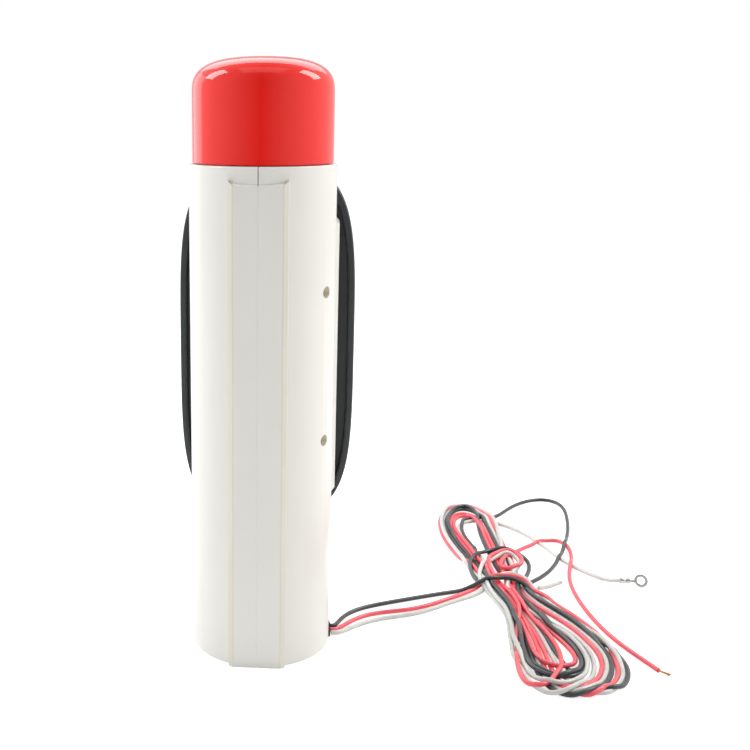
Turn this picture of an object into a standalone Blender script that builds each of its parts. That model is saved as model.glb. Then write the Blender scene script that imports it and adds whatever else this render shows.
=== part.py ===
"""Emergency position beacon.

An upright two-half case with a lift-off dome cap, a control cover on a saddle at the front,
a mounting rail at the back, a battery and radio inside, and three supply leads wound into a hank.
Metres, +Z up. The origin is the centre of the case's bottom face. The rail faces +Y, the control
cover faces -Y, and the leads leave at the foot towards -X.
"""

from math import cos, pi, radians, sin

import bmesh
import bpy
from mathutils import Matrix, Vector

MM = 0.001
GAP = 0.3 * MM  # clearance between pieces that touch or fit in one another

# ---- Driving dimensions -------------------------------------------------------------------------
# Case
CASE_R = 31.0 * MM
CASE_H = 214.0 * MM
CASE_WALL = 2.6 * MM
CASE_EDGE = 0.6 * MM
MOUTH_WALL = 3.5 * MM
SPLIT = 0.3 * MM  # width of the parting line between the case halves

# Rear mounting rail
RAIL_W = 25.0 * MM
RAIL_PROUD = 0.2 * MM
RAIL_BEVEL = 1.1 * MM
RAIL_TOP_DROP = 5.4 * MM
RAIL_TOP_SLOPE = 1.6 * MM

# Saddle that carries the control cover
SADDLE_W = 2 * CASE_R + 3.0 * MM
SADDLE_Y = -CASE_R - 5.2 * MM
SADDLE_LOW = 66.0 * MM
SADDLE_HIGH = 190.0 * MM
SADDLE_EDGE = 2.4 * MM

# Control cover
COVER_HALF_W = 40.4 * MM
COVER_HALF_H = 82.0 * MM
COVER_Z = 129.0 * MM
COVER_POWER = 4.0  # the cover's outline is a superellipse of this power
COVER_RIM_Y = SADDLE_Y + 2.7 * MM
COVER_FACE_Y = SADDLE_Y - 9.8 * MM
COVER_FACE_T = 2.5 * MM
GASKET_T = 0.7 * MM
WINDOW_HALF_W = 27.0 * MM  # opening between cover and case, wide part
WINDOW_HALF_H = 41.0 * MM
THROAT_HALF_W = 19.0 * MM  # the same opening, narrow part between the screw bosses
THROAT_HALF_H = 56.0 * MM
COVER_SCREW_X = 25.0 * MM
COVER_SCREW_Z = 50.0 * MM

# Foot
BASE_T = 4.0 * MM
BASE_R = CASE_R - 4.5 * MM
FOOT_LEDGE_T = 3.0 * MM
FOOT_LEDGE_R = BASE_R - 8.0 * MM
BASE_SCREW_R = BASE_R - 2.9 * MM
BASE_SCREW_ANGLES = (15, 135, 255)  # degrees, clear of the parting line and the grommet
BASE_RING_R = BASE_R - 5.6 * MM
GROMMET_ANGLE = radians(189.5)
GROMMET_W = 10.0 * MM
GROMMET_TOP = 7.0 * MM
GROMMET_IN_R = CASE_R - 3.9 * MM
GROMMET_OUT_R = CASE_R + 0.6 * MM

# Top deck and what stands on it
DECK_Z = CASE_H - 15.0 * MM
DECK_T = 3.0 * MM
DECK_LEDGE_R = CASE_R - MOUTH_WALL - 4.3 * MM
DECK_LEDGE_T = 2.7 * MM
DECK_SCREW_R = CASE_R - MOUTH_WALL - 2.3 * MM
DECK_SCREW_ANGLES = (30, 150, 300)
STROBE_R = 12.0 * MM
STROBE_H = 8.0 * MM
STROBE_WALL = 1.6 * MM
ANTENNA_Y = 17.0 * MM
ANTENNA_R = 3.4 * MM
ANTENNA_H = 38.0 * MM

# Dome cap
CAP_R = CASE_R - 1.55 * MM
CAP_STRAIGHT = 27.0 * MM  # from the case's rim to where the dome begins
CAP_RISE = 14.0 * MM
CAP_CROWN = 2.0 * MM
CAP_POWER = 3.5  # the dome's section is a superellipse of this power, with a slight crown on top
CAP_WALL = 2.4 * MM
SPIGOT_LEN = 10.8 * MM
SPIGOT_IN_R = CASE_R - MOUTH_WALL - 4.5 * MM
CAP_RING_Z = CASE_H - 6.5 * MM

# Screws that pull the case halves together
SIDE_SCREW_Y = 14.2 * MM
SIDE_SCREW_Z = (98.5 * MM, 162.3 * MM)
SIDE_RECESS_R = 2.5 * MM
SIDE_HEAD_X = -CASE_R + 8.5 * MM
SIDE_BOSS_R = 4.2 * MM
SIDE_SCREW_LEN = 32.0 * MM

# Controls on the cover
BUTTON_R = 8.0 * MM
BUTTON_Z = 164.0 * MM
BUTTON_TRAVEL = 2.0 * MM
TEST_R = 5.0 * MM
TEST_Z = 108.0 * MM
TEST_TRAVEL = 1.2 * MM
CROWN = 1.3 * MM  # how far a button stands out of the cover
GUARD_W = 25.0 * MM
GUARD_H = 28.0 * MM
GUARD_T = 1.8 * MM
HINGE_Z = 180.0 * MM
HINGE_Y = COVER_FACE_Y - 2.6 * MM
HINGE_BARREL_R = 2.2 * MM
HINGE_PIN_R = 1.0 * MM
LUG_T = 2.4 * MM
STATUS_Z = 131.0 * MM
STATUS_W = 26.0 * MM
STATUS_H = 9.0 * MM
SOUNDER_Z = 86.0 * MM
SOUNDER_R = 9.5 * MM
GRILLE_HOLE_R = 1.1 * MM
GRILLE_RING_R = 4.6 * MM

# Electronics
BOARD_Y = -CASE_R + 12.0 * MM
BOARD_T = 1.6 * MM
BOARD_W = 38.0 * MM
BOARD_LOW = 60.0 * MM
BOARD_HIGH = 188.0 * MM
SWITCH_BOARD_Y = SADDLE_Y - 0.7 * MM

# Battery
CELL_R = 9.2 * MM
CELL_H = 65.0 * MM
CELL_Y = 6.0 * MM
CELL_LOW = 16.0 * MM
SPRING_WIRE_R = 0.4 * MM

# Leads
WIRE_R = 1.05 * MM
WIRE_PITCH = 3.0 * MM  # spacing of the leads in the grommet
HANK_H = 9.0 * MM
RING_OUT_R = 3.4 * MM
RING_HOLE_R = 2.0 * MM
RING_X = -189.2 * MM
RING_Y = -70.4 * MM
STRAND_R = 0.5 * MM

# Facets of round pieces
FINE = 48
ROUND = 32
SMALL = 16
TINY = 10

# ---- Leads: routes chosen by hand, in millimetres -----------------------------------------------
# Each lead leaves the grommet square to it, drops to the ground and runs to the hank.
BLACK_LEAD = [(-34.5, -11.4, 1.8), (-35.6, -16.6, 1.2), (-38.2, -22.6, 1.05), (-42.8, -28.2, 1.05),
              (-49.2, -32.6, 1.05), (-58.5, -37.3, 1.05), (-66.0, -40.8, 1.05), (-76.1, -45.7, 1.05),
              (-86.3, -50.5, 1.05), (-96.6, -54.4, 1.2), (-103.6, -57.6, 1.6)]
RED_LEAD = [(-36.2, -8.1, 1.2), (-38.8, -12.8, 1.05), (-43.0, -18.9, 1.05), (-48.8, -23.8, 1.05),
            (-55.7, -27.0, 1.05), (-62.9, -28.5, 1.05), (-70.1, -30.4, 1.05), (-77.6, -34.6, 1.05),
            (-84.0, -39.9, 1.05), (-91.0, -45.7, 1.05), (-98.6, -51.4, 1.05)]
WHITE_LEAD = [(-37.6, -4.3, 1.2), (-40.8, -8.0, 1.05), (-44.8, -13.0, 1.05), (-50.4, -17.6, 1.05),
              (-57.8, -20.9, 1.05), (-65.0, -23.2, 1.05), (-72.2, -25.8, 1.05), (-79.8, -31.1, 1.05),
              (-87.7, -38.3, 1.05), (-95.7, -44.8, 1.05), (-104.8, -50.2, 1.05)]
WHITE_TAIL = [(-128.9, -152.6, 1.05), (-133.4, -148.2, 1.05), (-140.0, -139.6, 1.05),
              (-145.6, -128.6, 1.05), (-149.8, -116.6, 1.05), (-154.4, -101.8, 1.05),
              (-160.2, -89.2, 1.05), (-166.1, -80.6, 1.05), (-172.3, -74.1, 1.2),
              (-175.4, -71.8, 1.4), (-178.2, -70.9, 1.5)]
BLACK_TAIL = [(-128.6, -159.4, 1.3), (-132.0, -166.0, 1.05), (-137.2, -175.0, 1.05),
              (-144.6, -185.4, 1.05), (-154.8, -194.6, 1.05), (-164.2, -197.6, 1.05),
              (-170.4, -193.6, 1.05), (-172.6, -182.6, 1.05), (-171.1, -164.1, 1.05),
              (-167.7, -144.3, 1.6), (-163.8, -129.4, 3.2), (-161.2, -120.9, 3.8),
              (-157.6, -109.6, 3.6), (-153.4, -98.9, 3.7), (-149.4, -89.6, 2.6),
              (-144.8, -80.8, 1.3), (-140.2, -74.6, 1.05), (-135.6, -69.4, 1.05)]
RED_TAIL = [(-132.4, -109.6, 2.4), (-136.4, -113.4, 2.9), (-141.8, -118.4, 3.5), (-147.0, -123.4, 3.8),
            (-152.2, -128.2, 3.0), (-156.6, -130.6, 1.7), (-160.4, -129.4, 1.05), (-162.6, -123.4, 1.05),
            (-162.9, -113.2, 1.4), (-161.4, -102.4, 2.9), (-159.0, -93.4, 3.8), (-156.2, -84.0, 2.8),
            (-154.0, -73.0, 1.3), (-153.2, -62.0, 1.05), (-153.4, -50.5, 1.05), (-154.8, -34.7, 1.05),
            (-157.6, -18.8, 1.05), (-161.4, -4.9, 1.05), (-165.4, 5.2, 1.05), (-169.2, 13.4, 1.05),
            (-172.8, 21.6, 1.05)]
# Outline of the wound hank seen from above: a wide near end, a tied waist and a narrow far end.
HANK_OUTLINE = [(-132, -66), (-137, -50), (-149, -28), (-157, -4), (-160, 20), (-157, 38), (-145, 47),
                (-129, 49), (-117, 41), (-112, 24), (-113, 0), (-113.5, -28), (-108, -60), (-101, -90),
                (-95.5, -120), (-96, -153), (-104, -179), (-115, -187), (-123, -172), (-127, -140),
                (-129, -105)]

# ---- Sizes worked out from the driving ones -----------------------------------------------------
CASE_IN_R = CASE_R - CASE_WALL
MOUTH_R = CASE_R - MOUTH_WALL
RAIL_Y = CASE_R + RAIL_PROUD
COVER_FLOOR_Y = SADDLE_Y - GASKET_T - 2 * GAP
COVER_INSIDE_Y = COVER_FACE_Y + COVER_FACE_T
FOOT_LEDGE_Z = BASE_T + GAP
FOOT_FLOOR_Z = FOOT_LEDGE_Z + FOOT_LEDGE_T
DECK_R = MOUTH_R - GAP
DECK_TOP = DECK_Z + DECK_T
SPIGOT_R = MOUTH_R - GAP
CAP_LOW = CASE_H + GAP
BUTTON_FRONT_Y = COVER_FACE_Y - CROWN
CELL_HIGH = CELL_LOW + CELL_H
GUARD_BACK_Y = BUTTON_FRONT_Y - 2 * GAP

WHITE = ("moulded_white", (0.87, 0.87, 0.84), 0.35, 0.0)
RED = ("gloss_red", (0.80, 0.03, 0.02), 0.12, 0.0)
BLACK = ("cover_black", (0.02, 0.024, 0.027), 0.35, 0.0)
RUBBER = ("seal_rubber", (0.03, 0.03, 0.03), 0.8, 0.0)
STEEL = ("screw_steel", (0.62, 0.62, 0.60), 0.3, 1.0)
CLEAR = ("clear_window", (0.85, 0.87, 0.88), 0.05, 0.0)
YELLOW = ("test_yellow", (0.85, 0.62, 0.05), 0.4, 0.0)
BOARD = ("board_green", (0.03, 0.16, 0.07), 0.5, 0.0)
CHIP = ("chip_black", (0.03, 0.03, 0.03), 0.5, 0.0)
TIN = ("tinned_metal", (0.70, 0.70, 0.68), 0.35, 1.0)
CERAMIC = ("ceramic", (0.72, 0.66, 0.52), 0.6, 0.0)
LED = ("led_yellow", (0.85, 0.75, 0.25), 0.3, 0.0)
CELL = ("cell_sleeve", (0.10, 0.22, 0.45), 0.4, 0.0)
BLACK_WIRE = ("black_insulation", (0.03, 0.035, 0.035), 0.4, 0.0)
RED_WIRE = ("red_insulation", (0.85, 0.10, 0.14), 0.4, 0.0)
WHITE_WIRE = ("white_insulation", (0.80, 0.80, 0.77), 0.4, 0.0)
COPPER = ("bare_copper", (0.72, 0.40, 0.22), 0.35, 1.0)


# ---- Helpers --------------------------------------------------------------------------------------
def material(finish):
    """The Principled material of a finish, made once."""
    name, colour, roughness, metallic = finish
    found = bpy.data.materials.get(name)
    if found:
        return found
    made = bpy.data.materials.new(name)
    made.use_nodes = True
    shader = made.node_tree.nodes["Principled BSDF"]
    shader.inputs["Base Color"].default_value = (*colour, 1.0)
    shader.inputs["Roughness"].default_value = roughness
    shader.inputs["Metallic"].default_value = metallic
    return made


def add(name, shape, finish, origin=(0.0, 0.0, 0.0), smooth=40.0):
    """Turns a bmesh, given in world space, into a named object whose own origin is at origin."""
    bmesh.ops.triangulate(shape, faces=shape.faces)
    bmesh.ops.translate(shape, verts=shape.verts, vec=-Vector(origin))
    mesh = bpy.data.meshes.new(name)
    shape.to_mesh(mesh)
    shape.free()
    mesh.materials.append(material(finish))
    mesh.shade_smooth()
    mesh.set_sharp_from_angle(angle=radians(smooth))
    piece = bpy.data.objects.new(name, mesh)
    piece.location = origin
    bpy.context.scene.collection.objects.link(piece)
    return piece


def combine(target, operation, shape):
    """Adds, cuts or keeps what a bmesh shares with the target, and leaves the target a plain mesh."""
    tool = add("tool", shape, WHITE)
    step = target.modifiers.new("combine", "BOOLEAN")
    step.operation = operation
    step.solver = "EXACT"
    step.object = tool
    graph = bpy.context.evaluated_depsgraph_get()
    mesh = bpy.data.meshes.new_from_object(target.evaluated_get(graph))
    target.modifiers.clear()
    target.data = mesh
    bpy.data.objects.remove(tool)
    flat = bmesh.new()
    flat.from_mesh(mesh)
    bmesh.ops.triangulate(flat, faces=flat.faces)
    flat.to_mesh(mesh)
    flat.free()


def box(low, high):
    """An axis-aligned block between two corners."""
    shape = bmesh.new()
    bmesh.ops.create_cube(shape, size=1.0)
    low, high = Vector(low), Vector(high)
    size = Matrix.Diagonal((*(high - low), 1.0))
    bmesh.ops.transform(shape, verts=shape.verts, matrix=Matrix.Translation((low + high) / 2) @ size)
    return shape


def turned(profile, segments, place=(0.0, 0.0, 0.0), axis=(0.0, 0.0, 1.0)):
    """A solid of revolution: a closed (radius, height) profile turned about an axis through place."""
    shape = bmesh.new()
    points = [shape.verts.new((radius, 0.0, height)) for radius, height in profile]
    edges = [shape.edges.new((a, b)) for a, b in zip(points, points[1:] + points[:1])
             if a.co.x > 0 or b.co.x > 0]
    bmesh.ops.spin(shape, geom=points + edges, cent=(0, 0, 0), axis=(0, 0, 1),
                   angle=2 * pi, steps=segments, use_duplicate=False)
    bmesh.ops.remove_doubles(shape, verts=shape.verts, dist=1e-6)
    loose = [vertex for vertex in shape.verts if not vertex.link_faces]
    bmesh.ops.delete(shape, geom=loose, context="VERTS")
    bmesh.ops.recalc_face_normals(shape, faces=shape.faces)
    turn = Vector((0, 0, 1)).rotation_difference(Vector(axis)).to_matrix().to_4x4()
    bmesh.ops.transform(shape, verts=shape.verts, matrix=Matrix.Translation(place) @ turn)
    return shape


def rod(radius, length, place, axis, segments=SMALL):
    """A plain cylinder from place along axis."""
    return turned([(0, 0), (radius, 0), (radius, length), (0, length)], segments, place, axis)


def ring(major, minor, height, segments=32, sides=6):
    """An O-ring lying flat with its centre line at a height."""
    circle = [(major + minor * cos(2 * pi * i / sides), height + minor * sin(2 * pi * i / sides))
              for i in range(sides)]
    return turned(circle, segments)


def prism(outline, low, high, axis="Z"):
    """A flat outline pulled straight along an axis. For Y the outline is (x, z), for X it is (y, z)."""
    shape = bmesh.new()
    place = {"Z": lambda a, b: (a, b, low), "Y": lambda a, b: (a, low, b), "X": lambda a, b: (low, a, b)}
    way = {"Z": (0, 0, high - low), "Y": (0, high - low, 0), "X": (high - low, 0, 0)}
    face = shape.faces.new([shape.verts.new(place[axis](a, b)) for a, b in outline])
    pulled = bmesh.ops.extrude_face_region(shape, geom=[face])["geom"]
    moved = [item for item in pulled if isinstance(item, bmesh.types.BMVert)]
    bmesh.ops.translate(shape, verts=moved, vec=way[axis])
    bmesh.ops.recalc_face_normals(shape, faces=shape.faces)
    return shape


def joined(shapes):
    """Several separate shapes in one bmesh, used only as a tool that cuts or adds them together."""
    whole = bmesh.new()
    for shape in shapes:
        mesh = bpy.data.meshes.new("part")
        shape.to_mesh(mesh)
        shape.free()
        whole.from_mesh(mesh)
        bpy.data.meshes.remove(mesh)
    return whole


def smooth_route(points, spacing):
    """Points at an even spacing along a smooth curve through the given ones."""
    points = [Vector(point) for point in points]
    ends = [2 * points[0] - points[1], *points, 2 * points[-1] - points[-2]]
    dense = []
    for before, start, end, after in zip(ends, ends[1:], ends[2:], ends[3:]):
        for step in range(16):
            t = step / 16
            dense.append(0.5 * (2 * start + (end - before) * t
                                + (2 * before - 5 * start + 4 * end - after) * t * t
                                + (3 * start - before - 3 * end + after) * t ** 3))
    dense.append(points[-1])
    length = sum((b - a).length for a, b in zip(dense, dense[1:]))
    wanted = max(2, round(length / spacing))
    route, gone, target = [dense[0]], 0.0, length / wanted
    for a, b in zip(dense, dense[1:]):
        piece = (b - a).length
        while gone + piece >= target and len(route) < wanted:
            route.append(a.lerp(b, (target - gone) / piece))
            target += length / wanted
        gone += piece
    route.append(dense[-1])
    return route


def tube(name, points, radius, finish, spacing):
    """A round lead along a smooth route, its ends square and closed."""
    route = smooth_route(points, spacing)
    curve = bpy.data.curves.new(name, "CURVE")
    curve.dimensions = "3D"
    curve.bevel_depth = radius
    curve.bevel_resolution = 2
    curve.use_fill_caps = True
    curve.resolution_u = 1
    curve.render_resolution_u = 0
    spline = curve.splines.new("POLY")
    spline.points.add(len(route) - 1)
    for point, place in zip(spline.points, route):
        point.co = (*place, 1.0)
    curve.materials.append(material(finish))
    piece = bpy.data.objects.new(name, curve)
    bpy.context.scene.collection.objects.link(piece)
    return piece


def screws(name, places, axis, head_r, head_h, shank_r, length):
    """Pan-head screws: each place is the top of a head, and axis points down the shanks."""
    profile = [(0, 0), (head_r * 0.8, 0), (head_r, head_h * 0.4), (head_r, head_h), (shank_r, head_h),
               (shank_r, length - shank_r), (shank_r * 0.4, length), (0, length)]
    for number, place in enumerate(places, 1):
        add(f"{name}_{number}", turned(profile, TINY, place, axis), STEEL)


def around(radius, angles, height):
    """Places on a circle about the case's axis."""
    return [(radius * cos(radians(a)), radius * sin(radians(a)), height) for a in angles]


def superellipse(inset, count=40):
    """The cover's outline, drawn in by an inset, as (x, z) points."""
    outline = []
    for i in range(count):
        angle = 2 * pi * (i + 0.5) / count
        c, s = cos(angle), sin(angle)
        power = 2 / COVER_POWER
        x = (COVER_HALF_W - inset) * abs(c) ** power * (1 if c > 0 else -1)
        z = (COVER_HALF_H - inset) * abs(s) ** power * (1 if s > 0 else -1)
        outline.append((x, COVER_Z + z))
    return outline


def opening(low_y, high_y, spare=0.0):
    """The cross-shaped opening shared by saddle, gasket and cover, which leaves four screw bosses."""
    wide, middle = WINDOW_HALF_W + spare, WINDOW_HALF_H + spare
    narrow, tall = THROAT_HALF_W + spare, THROAT_HALF_H + spare
    quarter = [(wide, middle), (narrow, middle), (narrow, tall)]
    cross = quarter + [(-x, z) for x, z in reversed(quarter)]
    cross += [(-x, -z) for x, z in quarter] + [(x, -z) for x, z in reversed(quarter)]
    return prism([(x, COVER_Z + z) for x, z in cross], low_y, high_y, "Y")


def cover_screw_places(y):
    return [(sx * COVER_SCREW_X, y, COVER_Z + sz * COVER_SCREW_Z) for sx in (-1, 1) for sz in (-1, 1)]


# ---- Case: two half shells with the rail and the saddle -------------------------------------------
def make_case():
    outer = [(0, 0), (CASE_R - CASE_EDGE, 0), (CASE_R, CASE_EDGE), (CASE_R, CASE_H - CASE_EDGE),
             (CASE_R - CASE_EDGE, CASE_H), (0, CASE_H)]
    blank = add("case_blank", turned(outer, FINE), WHITE)

    half = RAIL_W / 2
    root = CASE_R * 0.8
    rail = [(-half, root), (-half + 0.3 * RAIL_BEVEL, RAIL_Y - RAIL_BEVEL), (-half + 1.9 * RAIL_BEVEL, RAIL_Y),
            (half - 1.9 * RAIL_BEVEL, RAIL_Y), (half - 0.3 * RAIL_BEVEL, RAIL_Y - RAIL_BEVEL), (half, root)]
    rail_shape = prism(rail, 0.0, CASE_H - RAIL_TOP_DROP)
    rail_top = [v for v in rail_shape.verts if v.co.z > CASE_H / 2 and v.co.y > RAIL_Y - RAIL_BEVEL / 2]
    bmesh.ops.translate(rail_shape, verts=rail_top, vec=(0, 0, -RAIL_TOP_SLOPE))
    combine(blank, "UNION", rail_shape)

    back = -CASE_R * 0.30
    saddle = [(-SADDLE_W / 2, SADDLE_Y), (SADDLE_W / 2, SADDLE_Y), (SADDLE_W / 2, back - 3.6 * MM),
              (SADDLE_W / 2 - 3.5 * MM, back), (-SADDLE_W / 2 + 3.5 * MM, back),
              (-SADDLE_W / 2, back - 3.6 * MM)]
    saddle_shape = prism(saddle, SADDLE_LOW, SADDLE_HIGH)
    sides = [e for e in saddle_shape.edges
             if abs(e.verts[0].co.x - e.verts[1].co.x) < 1e-6 and abs(e.verts[0].co.z - e.verts[1].co.z) < 1e-6]
    bmesh.ops.bevel(saddle_shape, geom=sides, offset=SADDLE_EDGE, segments=1, affect="EDGES")
    combine(blank, "UNION", saddle_shape)

    void = [(0, -MM), (BASE_R + GAP, -MM), (BASE_R + GAP, FOOT_LEDGE_Z), (FOOT_LEDGE_R, FOOT_LEDGE_Z),
            (FOOT_LEDGE_R, FOOT_FLOOR_Z), (CASE_IN_R, FOOT_FLOOR_Z),
            (CASE_IN_R, DECK_Z - DECK_LEDGE_T - (CASE_IN_R - DECK_LEDGE_R)),
            (DECK_LEDGE_R, DECK_Z - DECK_LEDGE_T), (DECK_LEDGE_R, DECK_Z - GAP), (MOUTH_R, DECK_Z - GAP),
            (MOUTH_R, CASE_H + MM), (0, CASE_H + MM)]
    combine(blank, "DIFFERENCE", turned(void, FINE))
    combine(blank, "DIFFERENCE", opening(SADDLE_Y - MM, BOARD_Y - 3 * MM))

    reach = CASE_R - 6.6 * MM
    bosses = [rod(SIDE_BOSS_R, 2 * reach, (-reach, SIDE_SCREW_Y, z), (1, 0, 0)) for z in SIDE_SCREW_Z]
    combine(blank, "UNION", joined(bosses))
    head_seat = SIDE_HEAD_X + 2.2 * MM + GAP
    bore = [(0, 0), (SIDE_RECESS_R, 0), (SIDE_RECESS_R, head_seat + CASE_R), (1.7 * MM, head_seat + CASE_R),
            (1.7 * MM, CASE_R + SIDE_HEAD_X + SIDE_SCREW_LEN + GAP),
            (0, CASE_R + SIDE_HEAD_X + SIDE_SCREW_LEN + GAP)]
    bores = [turned(bore, SMALL, (-CASE_R, SIDE_SCREW_Y, z), (1, 0, 0)) for z in SIDE_SCREW_Z]
    combine(blank, "DIFFERENCE", joined(bores))

    foot_holes = [rod(1.6 * MM, FOOT_LEDGE_T + 2 * MM, place, (0, 0, 1))
                  for place in around(BASE_SCREW_R, BASE_SCREW_ANGLES, FOOT_LEDGE_Z - MM)]
    deck_holes = [rod(1.5 * MM, 5.2 * MM, place, (0, 0, -1))
                  for place in around(DECK_SCREW_R, DECK_SCREW_ANGLES, DECK_Z)]
    cover_holes = [rod(1.5 * MM, 9.0 * MM, place, (0, 1, 0)) for place in cover_screw_places(SADDLE_Y - MM)]
    combine(blank, "DIFFERENCE", joined(foot_holes + deck_holes + cover_holes))

    notch = box((0, -GROMMET_W / 2 - GAP, -MM), (20 * MM, GROMMET_W / 2 + GAP, GROMMET_TOP + GAP))
    turn = Matrix.Rotation(GROMMET_ANGLE, 4, "Z") @ Matrix.Translation((GROMMET_IN_R - GAP, 0, 0))
    bmesh.ops.transform(notch, verts=notch.verts, matrix=turn)
    combine(blank, "DIFFERENCE", notch)

    seal_low = (-0.9 * MM, CASE_R - 2.1 * MM, 10 * MM)
    seal_high = (0.9 * MM, CASE_R - 0.9 * MM, DECK_Z - 7 * MM)
    combine(blank, "DIFFERENCE", box([v - GAP for v in seal_low], [v + GAP for v in seal_high]))

    wide = 60 * MM
    for name, low_x, high_x in (("housing_right", -wide, -SPLIT / 2), ("housing_left", SPLIT / 2, wide)):
        half_shell = add(name, box((low_x, -wide, -MM), (high_x, wide, CASE_H + MM)), WHITE)
        step = half_shell.modifiers.new("case", "BOOLEAN")
        step.operation = "INTERSECT"
        step.solver = "EXACT"
        step.object = blank
        graph = bpy.context.evaluated_depsgraph_get()
        mesh = bpy.data.meshes.new_from_object(half_shell.evaluated_get(graph))
        half_shell.modifiers.clear()
        half_shell.data = mesh
        mesh.shade_smooth()
        mesh.set_sharp_from_angle(angle=radians(30))
    bpy.data.objects.remove(blank)

    add("seam_seal", box(seal_low, seal_high), RUBBER)
    screws("housing_screw", [(SIDE_HEAD_X, SIDE_SCREW_Y, z) for z in SIDE_SCREW_Z], (1, 0, 0),
           SIDE_RECESS_R - GAP, 2.2 * MM, 1.4 * MM, SIDE_SCREW_LEN)


# ---- Foot: cover, its ring and screws, and the lead grommet ---------------------------------------
def make_foot():
    groove_r, groove_w, groove_d = BASE_RING_R, 1.05 * MM, 1.7 * MM
    profile = [(0, 0), (BASE_R - CASE_EDGE, 0), (BASE_R, CASE_EDGE), (BASE_R, BASE_T),
               (groove_r + groove_w, BASE_T), (groove_r + groove_w, BASE_T - groove_d),
               (groove_r - groove_w, BASE_T - groove_d), (groove_r - groove_w, BASE_T), (0, BASE_T)]
    cover = add("base_cover", turned(profile, ROUND), WHITE)
    seats = [turned([(0, -MM), (3.1 * MM, -MM), (3.1 * MM, 1.9 * MM), (1.6 * MM, 1.9 * MM),
                     (1.6 * MM, BASE_T + MM), (0, BASE_T + MM)], SMALL, place)
             for place in around(BASE_SCREW_R, BASE_SCREW_ANGLES, 0)]
    combine(cover, "DIFFERENCE", joined(seats))
    add("base_o_ring", ring(BASE_RING_R, 0.75 * MM, BASE_T - 0.75 * MM), RUBBER)
    screws("base_screw", around(BASE_SCREW_R, BASE_SCREW_ANGLES, 0.3 * MM), (0, 0, 1),
           2.8 * MM, 1.3 * MM, 1.3 * MM, 6.6 * MM)

    grommet = box((GROMMET_IN_R, -GROMMET_W / 2, GAP), (GROMMET_OUT_R, GROMMET_W / 2, GROMMET_TOP))
    rim = [e for e in grommet.edges if all(v.co.x > CASE_R for v in e.verts)]
    bmesh.ops.bevel(grommet, geom=rim, offset=0.4 * MM, segments=1, affect="EDGES")
    bmesh.ops.transform(grommet, verts=grommet.verts, matrix=Matrix.Rotation(GROMMET_ANGLE, 4, "Z"))
    add("cable_grommet", grommet, RUBBER)


# ---- Top deck: strobe, antennas ---------------------------------------------------------------------
def make_deck():
    deck = add("top_deck", turned([(0, DECK_Z), (DECK_R, DECK_Z), (DECK_R, DECK_TOP), (0, DECK_TOP)], ROUND),
               WHITE)
    stem_r = 2.4 * MM
    holes = [rod(1.6 * MM, DECK_T + 2 * MM, place, (0, 0, 1))
             for place in around(DECK_SCREW_R, DECK_SCREW_ANGLES, DECK_Z - MM)]
    holes.append(rod(stem_r + GAP, DECK_T + 2 * MM, (0, ANTENNA_Y, DECK_Z - MM), (0, 0, 1)))
    combine(deck, "DIFFERENCE", joined(holes))
    screws("deck_screw", around(DECK_SCREW_R, DECK_SCREW_ANGLES, DECK_TOP + 1.2 * MM + GAP), (0, 0, -1),
           1.7 * MM, 1.2 * MM, 1.2 * MM, 8.6 * MM)

    lens_low = DECK_TOP + GAP
    centre = lens_low + STROBE_H
    rising = [radians(22.5 * i) for i in range(1, 4)]
    inner_r = STROBE_R - STROBE_WALL
    lens = [(inner_r, lens_low), (STROBE_R, lens_low), (STROBE_R, centre)]
    lens += [(STROBE_R * cos(a), centre + STROBE_R * sin(a)) for a in rising]
    lens += [(0, centre + STROBE_R), (0, centre + inner_r)]
    lens += [(inner_r * cos(a), centre + inner_r * sin(a)) for a in reversed(rising)]
    lens += [(inner_r, centre)]
    add("strobe_lens", turned(lens, 24), CLEAR)
    board_r = inner_r - GAP
    board_top = lens_low + 1.6 * MM
    add("strobe_board", rod(board_r, 1.6 * MM, (0, 0, lens_low), (0, 0, 1), 24), BOARD)
    half = 4.2 * MM
    add("strobe_led", box((-half, -half, board_top + GAP), (half, half, board_top + 1.9 * MM)), LED)

    nut_low = DECK_TOP + GAP
    sheath_low = nut_low + 3.2 * MM + GAP
    top = DECK_TOP + ANTENNA_H
    under = DECK_Z - 5 * MM
    sheath = [(0, under), (stem_r - GAP, under), (stem_r - GAP, sheath_low), (ANTENNA_R, sheath_low),
              (ANTENNA_R * 0.75, top - 1.5 * MM), (ANTENNA_R * 0.4, top), (0, top)]
    add("antenna_sheath", turned(sheath, SMALL, (0, ANTENNA_Y, 0)), RUBBER)
    bore = (stem_r + GAP) / cos(pi / 6)
    nut = [(bore, nut_low), (4.6 * MM, nut_low), (4.6 * MM, nut_low + 3.2 * MM), (bore, nut_low + 3.2 * MM)]
    add("antenna_nut", turned(nut, 6, (0, ANTENNA_Y, 0)), TIN, smooth=10)
    patch = box((-9 * MM, -17 * MM, DECK_Z - GAP - 4 * MM), (9 * MM, MM, DECK_Z - GAP))
    add("gnss_antenna", patch, CERAMIC)


# ---- Dome cap ---------------------------------------------------------------------------------------
def dome_profile(radius, straight, rise):
    """One half of the dome's section, from the straight side up to its top."""
    outline = []
    for angle in (0, 1.5, 5, 12, 25, 42, 58, 72, 83):
        reach = cos(radians(angle)) ** (2 / CAP_POWER)
        climb = sin(radians(angle)) ** (2 / CAP_POWER)
        outline.append((radius * reach, straight + rise * climb + CAP_CROWN * (1 - reach ** 2)))
    return [*outline, (0, straight + rise + CAP_CROWN)]


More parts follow.
